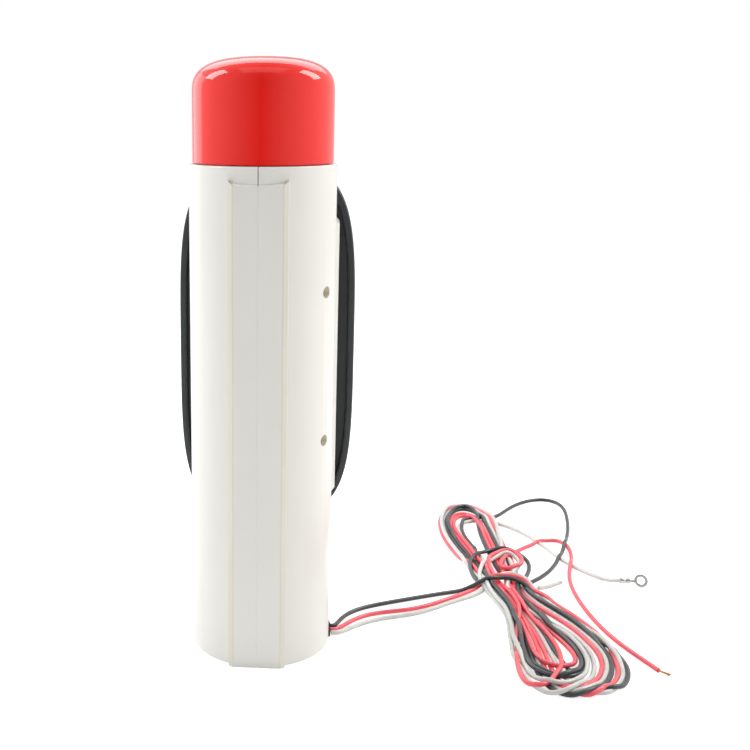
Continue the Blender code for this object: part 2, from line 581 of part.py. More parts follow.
def make_cap():
    spigot_low = CAP_LOW - SPIGOT_LEN
    groove_w, groove_d = 1.3 * MM, 2.1 * MM
    outside = dome_profile(CAP_R, CASE_H + CAP_STRAIGHT, CAP_RISE)
    inside = dome_profile(CAP_R - CAP_WALL, CASE_H + CAP_STRAIGHT, CAP_RISE - CAP_WALL)
    profile = [(SPIGOT_IN_R, spigot_low), (SPIGOT_R - 0.4 * MM, spigot_low), (SPIGOT_R, spigot_low + 0.4 * MM),
               (SPIGOT_R, CAP_RING_Z - groove_w), (SPIGOT_R - groove_d, CAP_RING_Z - groove_w),
               (SPIGOT_R - groove_d, CAP_RING_Z + groove_w), (SPIGOT_R, CAP_RING_Z + groove_w),
               (SPIGOT_R, CAP_LOW), (CAP_R, CAP_LOW), *outside, *reversed(inside),
               (CAP_R - CAP_WALL, CAP_LOW + 2 * CAP_WALL), (SPIGOT_IN_R, CAP_LOW + CAP_WALL / 2)]
    add("red_cap", turned(profile, ROUND), RED)
    add("cap_o_ring", ring(SPIGOT_R - 0.95 * MM, 0.85 * MM, CAP_RING_Z), RUBBER)


# ---- Control cover ----------------------------------------------------------------------------------
def loft_cover():
    """The cover's outer shape: rings of one outline, drawn in by an inset at each depth."""
    rim, face, floor = COVER_RIM_Y, COVER_FACE_Y, COVER_FLOOR_Y
    steps = [(3.4 * MM, floor), (3.0 * MM, rim - 0.6 * MM), (2.3 * MM, rim), (1.0 * MM, rim),
             (0.2 * MM, rim - 0.8 * MM), (0.0, rim - 2.0 * MM), (0.0, face + 5.0 * MM),
             (0.8 * MM, face + 2.4 * MM), (2.6 * MM, face + 0.7 * MM), (5.6 * MM, face)]
    shape = bmesh.new()
    rings = [[shape.verts.new((x, y, z)) for x, z in superellipse(inset)] for inset, y in steps]
    for near, far in zip(rings, rings[1:]):
        for i in range(len(near)):
            j = (i + 1) % len(near)
            shape.faces.new((near[i], near[j], far[j], far[i]))
    shape.faces.new(rings[0])
    shape.faces.new(rings[-1])
    bmesh.ops.recalc_face_normals(shape, faces=shape.faces)
    return shape


def make_cover():
    cover = add("front_cover", loft_cover(), BLACK)
    combine(cover, "DIFFERENCE", opening(COVER_INSIDE_Y, COVER_FLOOR_Y + MM))
    lug_x = GUARD_W / 2 + GAP
    lugs = []
    for side in (-1, 1):
        low_x, high_x = sorted((side * lug_x, side * (lug_x + LUG_T)))
        outline = [(COVER_FACE_Y + MM, HINGE_Z + 3.4 * MM)]
        outline += [(HINGE_Y + HINGE_BARREL_R * cos(radians(a)), HINGE_Z + HINGE_BARREL_R * sin(radians(a)))
                    for a in range(60, 301, 24)]
        outline += [(COVER_FACE_Y + MM, HINGE_Z - 3.4 * MM)]
        lugs.append(prism(outline, low_x, high_x, "X"))
    combine(cover, "UNION", joined(lugs))
    pin_len = GUARD_W + 2 * GAP + 2 * LUG_T
    pin_low = (-pin_len / 2, HINGE_Y, HINGE_Z)
    holes = [rod(HINGE_PIN_R + GAP, pin_len + 2 * MM, (-pin_len / 2 - MM, HINGE_Y, HINGE_Z), (1, 0, 0))]
    wall_low = COVER_FACE_Y - 2 * MM
    deep = COVER_FACE_T + 4 * MM
    holes.append(rod(BUTTON_R + GAP, deep, (0, wall_low, BUTTON_Z), (0, 1, 0), 24))
    holes.append(rod(TEST_R + GAP, deep, (0, wall_low, TEST_Z), (0, 1, 0), 20))
    grille = [(0, wall_low, SOUNDER_Z)]
    grille += [(GRILLE_RING_R * cos(pi * i / 3), wall_low, SOUNDER_Z + GRILLE_RING_R * sin(pi * i / 3))
               for i in range(6)]
    holes += [rod(GRILLE_HOLE_R, deep, place, (0, 1, 0), 8) for place in grille]
    holes.append(box((-STATUS_W / 2 - GAP, wall_low, STATUS_Z - STATUS_H / 2 - GAP),
                     (STATUS_W / 2 + GAP, wall_low + deep, STATUS_Z + STATUS_H / 2 + GAP)))
    combine(cover, "DIFFERENCE", joined(holes))
    head_seat = COVER_FACE_Y + 4.2 * MM
    tunnel = [(0, 0), (3.1 * MM, 0), (3.1 * MM, head_seat - wall_low), (1.8 * MM, head_seat - wall_low),
              (1.8 * MM, 16 * MM), (0, 16 * MM)]
    tunnels = [turned(tunnel, TINY, place, (0, 1, 0)) for place in cover_screw_places(wall_low)]
    combine(cover, "DIFFERENCE", joined(tunnels))
    screws("cover_screw", cover_screw_places(head_seat - GAP - 2.0 * MM), (0, 1, 0),
           2.7 * MM, 2.0 * MM, 1.2 * MM, 15.0 * MM)

    edge = 1.2 * MM
    half = SADDLE_W / 2 - edge
    sheet = box((-half, COVER_FLOOR_Y + GAP, SADDLE_LOW + SADDLE_EDGE + edge),
                (half, SADDLE_Y - GAP, SADDLE_HIGH - SADDLE_EDGE - edge))
    gasket = add("cover_gasket", sheet, RUBBER)
    combine(gasket, "DIFFERENCE", opening(COVER_FLOOR_Y - MM, SADDLE_Y + MM, 0.5 * MM))
    combine(gasket, "DIFFERENCE", joined([rod(1.8 * MM, 4 * MM, place, (0, 1, 0))
                                          for place in cover_screw_places(COVER_FLOOR_Y - MM)]))
    return pin_low, pin_len


def push_button(name, radius, height, finish):
    """A round button with a flange behind the cover wall and a stem behind it. Its axis is along Y."""
    flange_y = COVER_INSIDE_Y + GAP
    front = BUTTON_FRONT_Y
    profile = [(0, 0), (radius - 1.0 * MM, 0), (radius, 0.7 * MM), (radius, flange_y - front),
               (radius + 1.5 * MM, flange_y - front), (radius + 1.5 * MM, flange_y - front + MM),
               (radius * 0.4, flange_y - front + MM), (radius * 0.4, flange_y - front + 2.4 * MM),
               (0, flange_y - front + 2.4 * MM)]
    place = (0, front, height)
    add(name, turned(profile, 24, place, (0, 1, 0)), finish, origin=place)
    return flange_y + 2.4 * MM


def make_controls(pin_low, pin_len):
    stem_end = push_button("activation_button", BUTTON_R, BUTTON_Z, RED)
    push_button("test_button", TEST_R, TEST_Z, YELLOW)
    low = SOUNDER_Z - SOUNDER_R
    board = add("switch_board", box((-THROAT_HALF_W + MM, SWITCH_BOARD_Y, low),
                                    (THROAT_HALF_W - MM, SWITCH_BOARD_Y + BOARD_T, BUTTON_Z + 12 * MM)), BOARD)
    for height, travel in ((BUTTON_Z, BUTTON_TRAVEL), (TEST_Z, TEST_TRAVEL)):
        combine(board, "UNION", box((-3 * MM, stem_end + travel + GAP, height - 3 * MM),
                                    (3 * MM, SWITCH_BOARD_Y + MM / 2, height + 3 * MM)))

    flange_y = COVER_INSIDE_Y + GAP
    window = add("status_window", box((-STATUS_W / 2, COVER_FACE_Y - 0.2 * MM, STATUS_Z - STATUS_H / 2),
                                      (STATUS_W / 2, flange_y + 0.4 * MM, STATUS_Z + STATUS_H / 2)), CLEAR)
    combine(window, "UNION", box((-STATUS_W / 2 - 2 * MM, flange_y, STATUS_Z - STATUS_H / 2 - 2 * MM),
                                 (STATUS_W / 2 + 2 * MM, flange_y + MM, STATUS_Z + STATUS_H / 2 + 2 * MM)))
    add("status_led", box((-8 * MM, SWITCH_BOARD_Y - GAP - 1.8 * MM, STATUS_Z - 1.6 * MM),
                          (8 * MM, SWITCH_BOARD_Y - GAP, STATUS_Z + 1.6 * MM)), LED)
    add("sounder", rod(SOUNDER_R, 3.6 * MM, (0, COVER_INSIDE_Y + GAP, SOUNDER_Z), (0, 1, 0), 32), CHIP)

    add("guard_pin", rod(HINGE_PIN_R, pin_len, pin_low, (1, 0, 0), 16), STEEL, origin=pin_low)
    half = GUARD_W / 2
    outline = [(HINGE_Y + HINGE_BARREL_R * cos(radians(a)), HINGE_Z + HINGE_BARREL_R * sin(radians(a)))
               for a in range(-60, 181, 30)]
    face_y = GUARD_BACK_Y - GUARD_T
    outline += [(face_y - 0.5 * MM, HINGE_Z - 4 * MM), (face_y, HINGE_Z - GUARD_H),
                (GUARD_BACK_Y, HINGE_Z - GUARD_H), (GUARD_BACK_Y, HINGE_Z - 4 * MM)]
    hinge = (0, HINGE_Y, HINGE_Z)
    guard = add("switch_guard", prism(outline, -half, half, "X"), BLACK, origin=hinge)
    combine(guard, "DIFFERENCE", rod(HINGE_PIN_R + GAP, GUARD_W + 2 * MM, (-half - MM, HINGE_Y, HINGE_Z),
                                     (1, 0, 0), 16))


# ---- Electronics ------------------------------------------------------------------------------------
def make_electronics():
    half = BOARD_W / 2
    board = add("main_board", box((-half, BOARD_Y, BOARD_LOW), (half, BOARD_Y + BOARD_T, BOARD_HIGH)), BOARD)
    places = [(3.5 * MM - half, BOARD_HIGH - 4 * MM), (half - 3.5 * MM, BOARD_LOW + 4 * MM)]
    combine(board, "DIFFERENCE", joined([rod(1.5 * MM, 4 * MM, (x, BOARD_Y - MM, z), (0, 1, 0))
                                         for x, z in places]))
    head_y = BOARD_Y + BOARD_T + GAP + 1.4 * MM
    screws("board_screw", [(x, head_y, z) for x, z in places], (0, -1, 0),
           2.2 * MM, 1.4 * MM, 1.2 * MM, 5.2 * MM)
    behind = BOARD_Y + BOARD_T + GAP
    ahead = BOARD_Y - GAP
    add("transmitter_can", box((-14 * MM, behind, 118 * MM), (14 * MM, behind + 5.5 * MM, 152 * MM)), TIN)
    add("processor", box((-7 * MM, ahead - 1.4 * MM, 128 * MM), (7 * MM, ahead, 142 * MM)), CHIP)
    connector = (-14 * MM, behind, 70 * MM)
    add("lead_connector", box(connector, (-2 * MM, behind + 5 * MM, 77 * MM)), CERAMIC)
    harness = [(-26.0, -3.6, 9.2), (-25.6, -5.4, 18), (-24.6, -8.4, 34), (-21.8, -11.6, 50),
               (-13.0, -14.6, 62), (-8.6, -14.9, 69.2)]
    tube("inner_harness", [Vector(point) * MM for point in harness], 1.6 * MM, CHIP, 5 * MM)
    under = (DECK_Z - 5 * MM - GAP) / MM
    coax = [(0, ANTENNA_Y / MM, under), (0.4, 16.2, under - 6), (1.6, 9.5, under - 15), (1.8, 0, under - 20),
            (1.4, -9, under - 27), (1.2, -15.2, under - 35)]
    tube("antenna_coax", [Vector(point) * MM for point in coax], 0.9 * MM, BLACK_WIRE, 4 * MM)


# ---- Battery ----------------------------------------------------------------------------------------
def make_battery():
    columns = (-CELL_R - GAP, CELL_R + GAP)
    cell = [(0, 0), (CELL_R - 0.6 * MM, 0), (CELL_R, 0.6 * MM), (CELL_R, CELL_H - 1.7 * MM),
            (CELL_R - 0.8 * MM, CELL_H - 1.1 * MM), (2.8 * MM, CELL_H - 1.1 * MM), (2.8 * MM, CELL_H),
            (0, CELL_H)]
    for number, x in enumerate(columns, 1):
        add(f"battery_cell_{number}", turned(cell, 20), CELL).location = (x, CELL_Y, CELL_LOW)
    spring_low = CELL_LOW - 4.4 * MM
    for number, x in enumerate(columns, 1):
        turns, step = 2.5, 10
        coil = []
        for i in range(int(turns * step) + 1):
            angle = 2 * pi * i / step
            width = (6.0 - 3.2 * i / (turns * step)) * MM
            coil.append((x + width * cos(angle), CELL_Y + width * sin(angle),
                         spring_low + SPRING_WIRE_R + (4.1 * MM - 2 * SPRING_WIRE_R) * i / (turns * step)))
        tube(f"battery_spring_{number}", coil, SPRING_WIRE_R, STEEL, 3.0 * MM)
    half_w = 2 * CELL_R + 2 * GAP + 1.5 * MM
    low, high = spring_low - GAP - 2 * MM, CELL_HIGH + GAP + 2 * MM
    near, far = CELL_Y - CELL_R - GAP - 0.2 * MM, CELL_Y + CELL_R + GAP + 1.5 * MM
    cradle = add("battery_cradle", box((-half_w, near, low), (half_w, far, high)), CHIP)
    combine(cradle, "DIFFERENCE", box((-half_w + 1.5 * MM, near - MM, low + 2 * MM),
                                      (half_w - 1.5 * MM, far - 1.5 * MM, high - 2 * MM)))


# ---- Leads ------------------------------------------------------------------------------------------
def make_leads():
    turn = Matrix.Rotation(GROMMET_ANGLE, 3, "Z")
    start_r = GROMMET_OUT_R + 2 * GAP
    drop = {"black": 2.0 * MM, "red": 1.5 * MM, "white": 1.5 * MM}
    leads = (("black", BLACK_LEAD, BLACK_WIRE, 1), ("red", RED_LEAD, RED_WIRE, 0),
             ("white", WHITE_LEAD, WHITE_WIRE, -1))
    for name, route, finish, slot in leads:
        start = [turn @ Vector((start_r + out, slot * WIRE_PITCH, drop[name])) for out in (0, 2.4 * MM)]
        points = start + [Vector(point) * MM for point in route]
        tube(f"{name}_lead", points, WIRE_R, finish, 6.5 * MM)
    for name, route, finish in (("black_tail", BLACK_TAIL, BLACK_WIRE), ("red_tail", RED_TAIL, RED_WIRE),
                                ("white_tail", WHITE_TAIL, WHITE_WIRE)):
        tube(name, [Vector(point) * MM for point in route], WIRE_R, finish, 6.5 * MM)
    outline = smooth_route([(x * MM, y * MM, 0) for x, y in HANK_OUTLINE + HANK_OUTLINE[:1]], 12 * MM)[:-1]
    hank = prism([(p.x, p.y) for p in outline], 0.0, HANK_H)
    add("lead_hank", hank, RED_WIRE)

    barrel_end = RING_X + 5.6 * MM
    barrel = rod(1.5 * MM, 4.9 * MM, (barrel_end, RING_Y, 1.5 * MM), (1, 0, 0))
    terminal = add("ring_terminal", barrel, TIN)
    combine(terminal, "UNION", box((RING_X + 2.4 * MM, RING_Y - 1.2 * MM, 0.2 * MM),
                                   (barrel_end + 0.8 * MM, RING_Y + 1.2 * MM, 1.0 * MM)))
    combine(terminal, "UNION", rod(RING_OUT_R, 0.8 * MM, (RING_X, RING_Y, 0.2 * MM), (0, 0, 1), 28))
    combine(terminal, "DIFFERENCE", rod(RING_HOLE_R, 4 * MM, (RING_X, RING_Y, -MM), (0, 0, 1), 24))
    red_end = Vector(RED_TAIL[-1]) * MM
    tip = [red_end + Vector((-0.2, 0.45, 0)) * MM, red_end + Vector((-1.6, 1.9, -0.1)) * MM,
           red_end + Vector((-4.6, 3.0, -0.3)) * MM]
    tube("red_bare_end", tip, STRAND_R, COPPER, 1.2 * MM)
    tube("spare_end", [(-0.1366, -0.0590, 0.0018), (-0.1420, -0.0635, 0.0012), (-0.1495, -0.0700, 0.0008)],
         STRAND_R, WHITE_WIRE, 2 * MM)


# ---- Build ------------------------------------------------------------------------------------------
for old in list(bpy.data.objects):
    bpy.data.objects.remove(old)
make_case()
make_foot()
make_deck()
make_cap()
hinge_pin_low, hinge_pin_len = make_cover()
make_controls(hinge_pin_low, hinge_pin_len)
make_electronics()
make_battery()
make_leads()
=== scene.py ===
"""Emergency position beacon: a white two-half case on its foot, with a red lift-off dome cap,
a black control cover on the front, a mounting rail down the back, and three supply leads
wound into a hank beside it. The sections follow the beacon as it is put together."""

from math import cos, pi, radians, sin, sqrt

import bmesh
import bpy
import numpy as np
from mathutils import Matrix, Vector
from mathutils.kdtree import KDTree


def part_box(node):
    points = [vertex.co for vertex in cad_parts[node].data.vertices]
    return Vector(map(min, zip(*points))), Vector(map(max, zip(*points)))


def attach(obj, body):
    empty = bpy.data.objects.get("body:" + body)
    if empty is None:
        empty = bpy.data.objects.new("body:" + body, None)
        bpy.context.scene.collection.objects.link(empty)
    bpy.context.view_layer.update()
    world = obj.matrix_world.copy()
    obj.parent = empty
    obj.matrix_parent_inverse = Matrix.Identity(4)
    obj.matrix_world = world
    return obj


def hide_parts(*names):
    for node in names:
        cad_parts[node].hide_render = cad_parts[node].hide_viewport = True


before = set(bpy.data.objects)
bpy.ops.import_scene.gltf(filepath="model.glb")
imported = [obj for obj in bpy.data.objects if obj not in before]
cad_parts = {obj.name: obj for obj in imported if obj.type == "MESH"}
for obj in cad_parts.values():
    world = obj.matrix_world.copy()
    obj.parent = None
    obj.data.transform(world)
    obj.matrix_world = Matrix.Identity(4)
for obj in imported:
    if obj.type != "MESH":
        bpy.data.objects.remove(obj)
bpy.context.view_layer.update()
MM = 0.001

# ---- Studio -----------------------------------------------------------------------------------------
# A plain pale floor and a bright even surround, with one soft box on each side and one overhead.
# The camera looks at the rail side of the beacon from a little above it.
scene = bpy.context.scene
collection = scene.collection
scene.view_settings.view_transform = "Standard"

eye = bpy.data.cameras.new("camera")
eye.sensor_width = 36.0
eye.lens = 53.59
eye.shift_x = 0.178
camera = bpy.data.objects.new("camera", eye)
camera.location = (-0.0289, 0.4728, 0.2350)
camera.rotation_euler = (radians(76.73), 0.0, radians(184.58))
collection.objects.link(camera)
scene.camera = camera


def shader_of(name):
    """A new material, its node tree and its Principled shader."""
    made = bpy.data.materials.new(name)
    made.use_nodes = True
    return made, made.node_tree, made.node_tree.nodes["Principled BSDF"]


FLOOR_HALF = 3.0
floor_mesh = bpy.data.meshes.new("floor")
floor_mesh.from_pydata([(-FLOOR_HALF, -FLOOR_HALF, 0), (FLOOR_HALF, -FLOOR_HALF, 0),
                        (FLOOR_HALF, FLOOR_HALF, 0), (-FLOOR_HALF, FLOOR_HALF, 0)], [], [(0, 1, 2, 3)])
floor = bpy.data.objects.new("floor", floor_mesh)
collection.objects.link(floor)
paper, paper_tree, paper_shader = shader_of("pale_floor")
paper_shader.inputs["Base Color"].default_value = (0.80, 0.80, 0.80, 1)
paper_shader.inputs["Roughness"].default_value = 0.9
paper_shader.inputs["Specular IOR Level"].default_value = 0.1
paper_shader.inputs["Emission Color"].default_value = (1.0, 1.0, 1.0, 1)
shown_white = paper_tree.nodes.new("ShaderNodeMapRange")
shown_white.inputs["To Min"].default_value = 0.18
shown_white.inputs["To Max"].default_value = 0.72
paper_tree.links.new(paper_tree.nodes.new("ShaderNodeLightPath").outputs["Is Camera Ray"], shown_white.inputs["Value"])
paper_tree.links.new(shown_white.outputs["Result"], paper_shader.inputs["Emission Strength"])
floor_mesh.materials.append(paper)

surround = bpy.data.worlds.new("surround")
scene.world = surround
surround.use_nodes = True
sky = surround.node_tree
seen = sky.nodes["Background"]
seen.inputs["Color"].default_value = (1.0, 1.0, 1.0, 1)
seen.inputs["Strength"].default_value = 1.0
lit = sky.nodes.new("ShaderNodeBackground")
lit.inputs["Color"].default_value = (1.0, 1.0, 1.0, 1)
DARK_END = 0.05  # brightness of the room behind the camera, then what its sides and far end add
SIDE_RISE = 0.86
FAR_RISE = 0.24
way = sky.nodes.new("ShaderNodeSeparateXYZ")
sky.links.new(sky.nodes.new("ShaderNodeTexCoord").outputs["Generated"], way.inputs[0])
sideways = sky.nodes.new("ShaderNodeMath")
sideways.operation = "ABSOLUTE"
sky.links.new(way.outputs["X"], sideways.inputs[0])
glow = sky.nodes.new("ShaderNodeMath")
glow.operation = "MULTIPLY_ADD"
glow.inputs[1].default_value = SIDE_RISE
glow.inputs[2].default_value = DARK_END + FAR_RISE
sky.links.new(sideways.outputs[0], glow.inputs[0])
beyond = sky.nodes.new("ShaderNodeMath")
beyond.operation = "MULTIPLY_ADD"
sky.links.new(way.outputs["Y"], beyond.inputs[0])
beyond.inputs[1].default_value = -FAR_RISE
sky.links.new(glow.outputs[0], beyond.inputs[2])
sky.links.new(beyond.outputs[0], lit.inputs["Strength"])
ray = sky.nodes.new("ShaderNodeLightPath")
either = sky.nodes.new("ShaderNodeMixShader")
sky.links.new(ray.outputs["Is Camera Ray"], either.inputs[0])
sky.links.new(lit.outputs[0], either.inputs[1])
sky.links.new(seen.outputs[0], either.inputs[2])
sky.links.new(either.outputs[0], sky.nodes["World Output"].inputs["Surface"])


def soft_box(name, place, aim, width, height, power, colour=(1.0, 1.0, 1.0)):
    lamp = bpy.data.lights.new(name, "AREA")
    lamp.color = colour
    lamp.shape = "RECTANGLE"
    lamp.size = width
    lamp.size_y = height
    lamp.energy = power
    holder = bpy.data.objects.new(name, lamp)
    holder.location = place
    holder.rotation_euler = (Vector(aim) - Vector(place)).to_track_quat("-Z", "Y").to_euler()
    collection.objects.link(holder)


soft_box("left_box", (0.75, -0.14, 0.85), (0.0, 0.0, 0.2), 0.34, 0.55, 4.0, (0.98, 1.0, 1.02))
soft_box("left_wall", (1.0, -0.80, 0.35), (0.0, 0.0, 0.15), 0.8, 0.9, 2.6)
soft_box("right_box", (-0.75, -0.22, 0.85), (0.0, 0.0, 0.2), 0.32, 0.55, 4.4, (1.02, 1.0, 0.93))
soft_box("top_box", (0.0, 0.10, 1.10), (0.0, 0.0, 0.1), 0.7, 0.5, 0.8)
soft_box("back_box", (0.0, -0.90, 0.95), (0.0, 0.0, 0.2), 1.4, 0.6, 5.0)

# ---- Supply leads -----------------------------------------------------------------------------------
# Three stranded copper wires in PVC, 2.1 mm thick, come through the grommet at the foot, cross over
# the waist of a hand-wound hank, make four turns of it each, and end in a ring terminal and bare ends.
WIRE_D = 2.1 * MM
WIRE_STEP = 1.6 * MM  # spacing of the points that settle under gravity
GROMMET_ANGLE = radians(189.5)
GROMMET_FACE_R = 32.2 * MM
WIRE_PITCH = 3.0 * MM

# Free stretches, in millimetres: where they run between the grommet and the hank, and their tails.
BLACK_LEAD = [(-34.5, -11.4, 1.8), (-35.6, -16.6, 1.2), (-38.2, -22.6, 1.05), (-42.8, -28.2, 1.05),
              (-49.2, -32.6, 1.05), (-58.5, -37.3, 1.05), (-66.0, -40.8, 1.05), (-76.1, -45.7, 1.05),
              (-86.3, -50.5, 1.05), (-95.6, -54.0, 1.8), (-102.4, -56.8, 4.2)]
RED_LEAD = [(-36.2, -8.1, 1.2), (-38.8, -12.8, 1.05), (-43.0, -18.9, 1.05), (-48.8, -23.8, 1.05),
            (-55.7, -27.0, 1.05), (-62.9, -28.5, 1.05), (-70.1, -30.4, 1.05), (-77.6, -34.6, 1.05),
            (-84.0, -39.9, 1.05), (-91.0, -45.7, 1.05), (-98.6, -51.4, 1.05)]
WHITE_LEAD = [(-37.6, -4.3, 1.2), (-40.8, -8.0, 1.05), (-44.8, -13.0, 1.05), (-50.4, -17.6, 1.05),
              (-57.8, -20.9, 1.05), (-65.0, -23.2, 1.05), (-72.2, -25.8, 1.05), (-79.8, -31.1, 1.05),
              (-87.7, -38.3, 1.05), (-95.7, -44.8, 1.05), (-104.8, -50.2, 1.4)]
WHITE_TAIL = [(-128.9, -152.6, 1.05), (-133.4, -148.2, 1.05), (-140.0, -139.6, 1.05),
              (-145.6, -128.6, 1.05), (-149.8, -116.6, 1.05), (-154.4, -101.8, 1.05),
              (-160.2, -89.2, 1.05), (-166.1, -80.6, 1.05), (-172.3, -74.1, 1.2),
              (-175.4, -71.5, 1.9), (-179.6, -70.4, 2.6)]
BLACK_TAIL = [(-128.6, -159.4, 1.3), (-132.0, -166.0, 1.05), (-137.2, -175.0, 1.05),
              (-144.6, -185.4, 1.05), (-154.8, -194.6, 1.05), (-164.2, -197.6, 1.05),
              (-170.4, -193.6, 1.05), (-172.6, -182.6, 1.05), (-171.1, -164.1, 1.05),
              (-167.7, -144.3, 1.6), (-163.8, -129.4, 3.2), (-161.2, -120.9, 3.8),
              (-157.6, -109.6, 3.6), (-153.4, -98.9, 3.7), (-149.4, -89.6, 2.6),
              (-144.8, -80.8, 1.3), (-140.2, -74.6, 1.05), (-135.6, -69.4, 1.05), (-131.6, -65.4, 1.05),
              (-127.8, -61.8, 1.2)]
RED_TAIL = [(-132.4, -109.6, 2.4), (-136.4, -113.4, 2.9), (-141.8, -118.4, 3.5), (-147.0, -123.4, 3.8),
            (-152.2, -128.2, 3.0), (-156.6, -130.6, 1.7), (-160.4, -129.4, 1.05), (-162.6, -123.4, 1.05),
            (-162.9, -113.2, 1.4), (-161.4, -102.4, 2.9), (-159.0, -93.4, 3.8), (-156.2, -84.0, 2.8),
            (-154.0, -73.0, 1.3), (-153.2, -62.0, 1.05), (-153.4, -50.5, 1.05), (-154.8, -34.7, 1.05),
            (-157.6, -18.8, 1.05), (-161.4, -4.9, 1.05), (-165.4, 5.2, 1.05), (-169.2, 13.4, 1.05),
            (-172.8, 21.6, 1.05)]

# The leads' way over the waist of the hank.
BLACK_OVER = [(-108, -59.5, 7.5), (-113, -61.5, 9.5), (-119, -63.5, 10), (-125, -63.5, 9.5), (-129.5, -60, 8)]
RED_OVER = [(-103.5, -56.5, 1.6), (-107, -62, 5), (-112, -65, 8.3), (-119, -67.5, 9), (-126, -67.5, 9),
            (-131, -63.5, 7)]
WHITE_OVER = [(-108.5, -55.5, 4), (-112, -62.5, 6.6), (-116, -69, 8.3), (-121, -71.5, 9), (-127, -71.5, 9),
              (-132.5, -67, 7)]

# Near turns, from the right of the waist round the near end and back to its left, outermost first.
BLACK_NEAR = [
    [(-133, -44), (-142, -29), (-151, -12), (-157, 4), (-160, 18), (-159, 29), (-154, 38), (-147, 43),
     (-140, 40), (-135, 28), (-132, 8), (-129, -15), (-123, -42), (-117, -62)],
    [(-129, -55), (-137, -38), (-146, -22), (-152, -5), (-155, 10), (-154, 21), (-149, 33), (-141, 43.5),
     (-131, 48.5), (-124, 44), (-121, 30), (-121, 8), (-120, -20), (-115, -45), (-112, -62)],
    [(-125, -55), (-129, -38), (-135, -18), (-141, -3), (-144, 8), (-143.5, 19), (-138, 30), (-130, 36),
     (-124, 33), (-119.5, 24), (-118.5, 9), (-119, -10), (-117, -38), (-111, -60)],
    [(-123, -55), (-126, -38), (-131, -22), (-137, -6), (-141.5, 7), (-142.5, 17), (-140, 26), (-134, 33),
     (-128, 36), (-122, 33), (-118, 24), (-117.5, 9), (-119, -12), (-117, -40), (-112, -62)]]
RED_NEAR = [
    [(-136, -50), (-144, -38), (-151.5, -21), (-156, -3), (-157, 14), (-155.5, 26), (-150, 37), (-142, 45),
     (-134, 48), (-129, 41), (-127, 25), (-127, 5), (-125, -18), (-119, -45), (-115, -62)],
    [(-127, -55), (-133, -38), (-141, -24), (-147, -10), (-151, 6), (-151, 17), (-146, 30), (-139, 40),
     (-131, 45), (-125, 40), (-123, 25), (-124, 5), (-123, -18), (-119, -42), (-114, -62)],
    [(-124, -55), (-127, -36), (-132, -17), (-137.5, -2), (-140.5, 9), (-140.5, 17), (-136, 23), (-130, 26.5),
     (-124.5, 25), (-121.5, 16), (-121, 1), (-121, -18), (-118, -42), (-113, -62)],
    [(-122, -56), (-124, -36), (-128, -18), (-132, -3), (-133, 11), (-131.5, 25), (-126, 37), (-119, 44),
     (-114, 42), (-112.5, 30), (-114, 12), (-118, -10), (-122, -30), (-121, -48), (-116, -62)]]
WHITE_NEAR = [
    [(-135.5, -55), (-139, -42), (-147, -24), (-154, -6), (-158, 14), (-157.5, 27), (-152, 38), (-145, 44.5),
     (-137, 44), (-131, 32), (-129.5, 12), (-127, -12), (-121, -42), (-116, -62)],
    [(-128, -54), (-135, -38), (-144, -22), (-150, -6), (-153, 8), (-152, 20), (-148, 32), (-141, 42),
     (-132, 47), (-126, 43), (-122, 28), (-122.5, 5), (-121, -20), (-113, -62)],
    [(-121, -55), (-123, -42), (-129, -30), (-137, -20), (-143.5, -9), (-147, 4), (-147, 18), (-143, 31),
     (-136, 42), (-127, 48), (-118, 44), (-114, 27), (-113.5, 0), (-116, -28), (-110, -58)],
    [(-120, -55), (-123, -38), (-131, -22), (-138, -11), (-142, -1), (-144, 12), (-142.5, 25), (-136, 36),
     (-129, 41.5), (-122, 41), (-116.5, 33), (-115, 16), (-115.5, -8), (-117, -34), (-109, -62)]]

# Far turns, from the left of the waist round the far end and back to its right, outermost first.
BLACK_FAR = [
    [(-110, -80), (-104, -97), (-99.5, -118), (-98, -140), (-99.5, -158), (-104.5, -171), (-111, -178.5),
     (-117.5, -173), (-121, -158), (-123, -135), (-124.5, -110), (-127, -85)],
    [(-109, -90), (-105.5, -108), (-100, -134), (-99, -147), (-102, -163), (-108.5, -176.5), (-115, -178),
     (-118, -170), (-117.5, -150), (-117, -125), (-118, -100), (-121, -78)],
    [(-111, -90), (-110, -110), (-107, -128), (-106, -143), (-108.5, -154.5), (-113, -160), (-120, -161.5)]]
RED_FAR = [
    [(-108, -80), (-102, -98), (-97, -120), (-95.5, -140), (-97, -158), (-103, -173), (-112, -182),
     (-120, -177), (-125, -162), (-126.5, -140), (-127, -115), (-127, -85)],
    [(-110, -90), (-107, -108), (-102.5, -128), (-100.5, -146), (-103, -162), (-110, -170), (-116, -165),
     (-119, -148), (-121, -125), (-122, -100), (-124, -78)],
    [(-111, -85), (-109, -105), (-104, -128), (-102, -146), (-105, -160), (-111, -166.5), (-116, -160),
     (-117.5, -145), (-118.5, -122), (-120, -98), (-121, -75)]]
WHITE_FAR = [
    [(-107, -82), (-102, -100), (-98, -122), (-97, -142), (-98.5, -160), (-104, -174), (-112, -181),
     (-119, -175), (-123.5, -160), (-124.5, -138), (-125.5, -112), (-127, -86)],
    [(-105, -85), (-100, -103), (-96.5, -125), (-96, -145), (-98, -163), (-104, -177), (-113, -185),
     (-121, -178), (-125.5, -163), (-127, -148), (-126, -125), (-125, -100), (-123, -76)],
    [(-112, -92), (-109, -112), (-105.5, -126), (-104.5, -142), (-107.5, -152), (-113, -156), (-121, -156.5)]]

